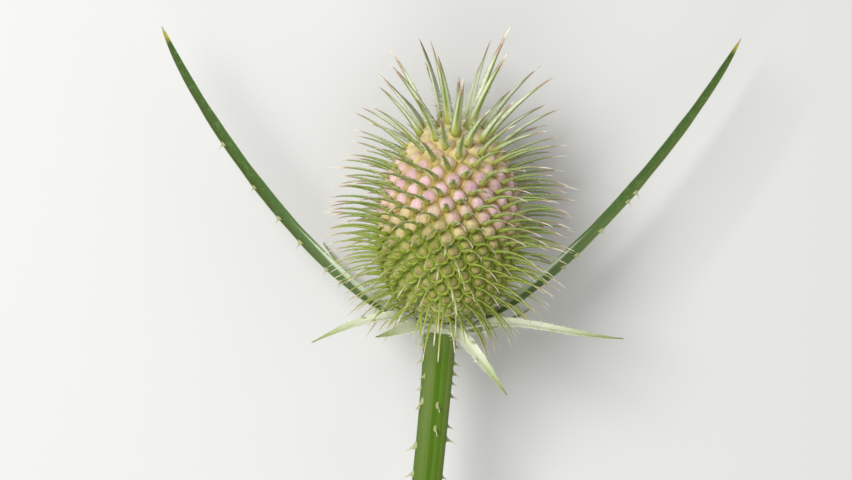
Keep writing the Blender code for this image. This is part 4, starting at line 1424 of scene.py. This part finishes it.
class TEASEL_OT_spines(bpy.types.Operator):
    """The spines between the buds and the fine hairs along them"""

    bl_idname = "teasel.spines"
    bl_label = "Spines and Hairs"
    bl_options = {"REGISTER", "UNDO"}

    def execute(self, context):
        sizes, tones = settings(context)
        turns, levels, _, chance = florets()
        kept, lines = spine_lines(turns, levels)
        turns, levels, chance = turns[kept], levels[kept], chance[kept]
        rings, tail, head, marks = spine_surface(turns, levels, lines, sizes, chance)
        own = {"level": levels[:, None, None], "chance": chance[:, None, None]}
        spines = skin("spines", rings, tail, head, {**marks, **own}, spine_finish(tones))
        roots, ways, curl, length, level = spine_hair_roots(
            turns, levels, lines, sizes, chance, np.random.default_rng(HAIR_SEED))
        hairs = hair_skin("spine_hairs", roots, ways, curl, length, sizes.hair_radius,
                          {"level": level}, hair_finish(tones))
        for piece in (spines, hairs):
            stand_for(piece, "head_green", "flower_head")
        return {"FINISHED"}


class TEASEL_OT_stem(bpy.types.Operator):
    """The ribbed stem with its cut end and prickles"""

    bl_idname = "teasel.stem"
    bl_label = "Stem"
    bl_options = {"REGISTER", "UNDO"}

    def execute(self, context):
        sizes, tones = settings(context)
        stem = skin("ribbed_stem", *stem_surface(), stem_finish(tones))
        roots, ways, downs = stem_prickles()
        scale = np.random.default_rng(STEM_PRICKLE_SEED).uniform(*STEM_SCALES, len(roots))
        prickles = skin("stem_prickles", *prickle_surface(roots, ways, downs, scale, sizes),
                        prickle_finish(tones))
        for piece in (stem, prickles):
            stand_for(piece, "stem_green", "stem")
        return {"FINISHED"}


class TEASEL_OT_long_bracts(bpy.types.Operator):
    """The two long curved bracts with the prickles along their outer edges"""

    bl_idname = "teasel.long_bracts"
    bl_label = "Long Bracts"
    bl_options = {"REGISTER", "UNDO"}

    def execute(self, context):
        sizes, tones = settings(context)
        leaf = long_blade_finish(tones)
        thorn = prickle_finish(tones)
        for node in filter(is_long, BRACTS):
            blade = skin(node.replace("bract_long", "long_bract"),
                         *blade_surface(node, *LONG_GRID, sizes), leaf)
            roots, ways, ahead = edge_prickles(node)
            scale = np.random.default_rng(EDGE_PRICKLE_SEED).uniform(*EDGE_SCALES, len(roots))
            prickles = skin(blade.name + "_prickles",
                            *prickle_surface(roots, ways, -ahead, scale, sizes), thorn)
            for piece in (blade, prickles):
                stand_for(piece, "long_bract_green", node)
        return {"FINISHED"}


class TEASEL_OT_short_bracts(bpy.types.Operator):
    """The six short pale bracts with their hairs and prickles, and the collar below them"""

    bl_idname = "teasel.short_bracts"
    bl_label = "Short Bracts"
    bl_options = {"REGISTER", "UNDO"}

    def execute(self, context):
        sizes, tones = settings(context)
        leaf = short_blade_finish()
        white = hair_finish(tones)
        thorn = prickle_finish(tones)
        draw = np.random.default_rng(FRINGE_SEED)
        for node in BRACTS:
            if is_long(node):
                continue
            name = node.replace("bract", "short_bract")
            blade = skin(name, *blade_surface(node, *SHORT_GRID, sizes), leaf)
            roots, ways, curl, length = fringe_roots(node, draw)
            hairs = hair_skin(name + "_hairs", roots, ways, curl, length, sizes.hair_radius,
                              {"level": np.full(len(roots), FRINGE_LEVEL)}, white)
            for piece in (blade, hairs):
                stand_for(piece, "short_bract_green", node)
            if node in EDGE_PRICKLES:
                roots, ways, ahead = edge_prickles(node)
                scale = np.full(len(roots), SHORT_SCALE)
                prickles = skin(name + "_prickles",
                                *prickle_surface(roots, ways, -ahead, scale, sizes), thorn)
                stand_for(prickles, "short_bract_green", node)
        collar = skin("bract_collar", *collar_surface(), leaf)
        stand_for(collar, "short_bract_green")
        return {"FINISHED"}


class TEASEL_OT_studio(bpy.types.Operator):
    """The plain floor, the soft lights and the camera that looks straight down"""

    bl_idname = "teasel.studio"
    bl_label = "Studio"
    bl_options = {"REGISTER", "UNDO"}

    def execute(self, context):
        scene = context.scene
        mesh = bpy.data.meshes.new("floor")
        corners = [(FLOOR_REACH * x, FLOOR_REACH * y, 0)
                   for x, y in ((-1, -1), (1, -1), (1, 1), (-1, 1))]
        mesh.from_pydata(corners, [], [(0, 1, 2, 3)])
        mesh.materials.append(floor_finish(scene.teasel_colours))
        floor = bpy.data.objects.new("floor", mesh)
        scene.collection.objects.link(floor)
        world = bpy.data.worlds.new("studio")
        world.use_nodes = True
        sky = world.node_tree.nodes["Background"].inputs
        sky["Color"].default_value = SKY_COLOUR
        sky["Strength"].default_value = SKY_STRENGTH
        scene.world = world
        scene.view_settings.view_transform = "Standard"
        for name, (place, size, watts) in LIGHTS.items():
            lamp = bpy.data.lights.new(name, "AREA")
            lamp.size = size
            lamp.energy = watts
            light = bpy.data.objects.new(name, lamp)
            light.location = place
            away = np.array(place) - HEAD_CENTRE
            light.rotation_euler = (math.acos(away[2] / np.linalg.norm(away)), 0,
                                    math.atan2(away[1], away[0]) + math.pi / 2)
            scene.collection.objects.link(light)
        lens = bpy.data.cameras.new("camera")
        lens.lens = CAMERA_LENS
        lens.clip_start = CAMERA_NEAR
        camera = bpy.data.objects.new("camera", lens)
        camera.location = CAMERA_PLACE
        scene.collection.objects.link(camera)
        scene.camera = camera
        return {"FINISHED"}


OPERATORS = (TEASEL_OT_buds, TEASEL_OT_spines, TEASEL_OT_stem, TEASEL_OT_long_bracts,
             TEASEL_OT_short_bracts, TEASEL_OT_studio)


class TEASEL_PT_panel(bpy.types.Panel):
    """Lists the teasel's pieces in the sidebar"""

    bl_label = "Teasel"
    bl_idname = "TEASEL_PT_panel"
    bl_space_type = "VIEW_3D"
    bl_region_type = "UI"
    bl_category = "Teasel"

    def draw(self, context):
        for operator in OPERATORS:
            self.layout.operator(operator.bl_idname)
        for group in (context.scene.teasel_sizes, context.scene.teasel_colours):
            for key in group.__annotations__:
                self.layout.prop(group, key)


CLASSES = (TeaselSizes, TeaselColours, *OPERATORS, TEASEL_PT_panel)


def register():
    for each in CLASSES:
        bpy.utils.register_class(each)
    bpy.types.Scene.teasel_sizes = PointerProperty(type=TeaselSizes)
    bpy.types.Scene.teasel_colours = PointerProperty(type=TeaselColours)


def unregister():
    del bpy.types.Scene.teasel_colours
    del bpy.types.Scene.teasel_sizes
    for each in reversed(CLASSES):
        bpy.utils.unregister_class(each)


def main():
    register()
    bpy.ops.teasel.buds()
    bpy.ops.teasel.spines()
    bpy.ops.teasel.stem()
    bpy.ops.teasel.long_bracts()
    bpy.ops.teasel.short_bracts()
    bpy.ops.teasel.studio()


if __name__ == "__main__":
    main()
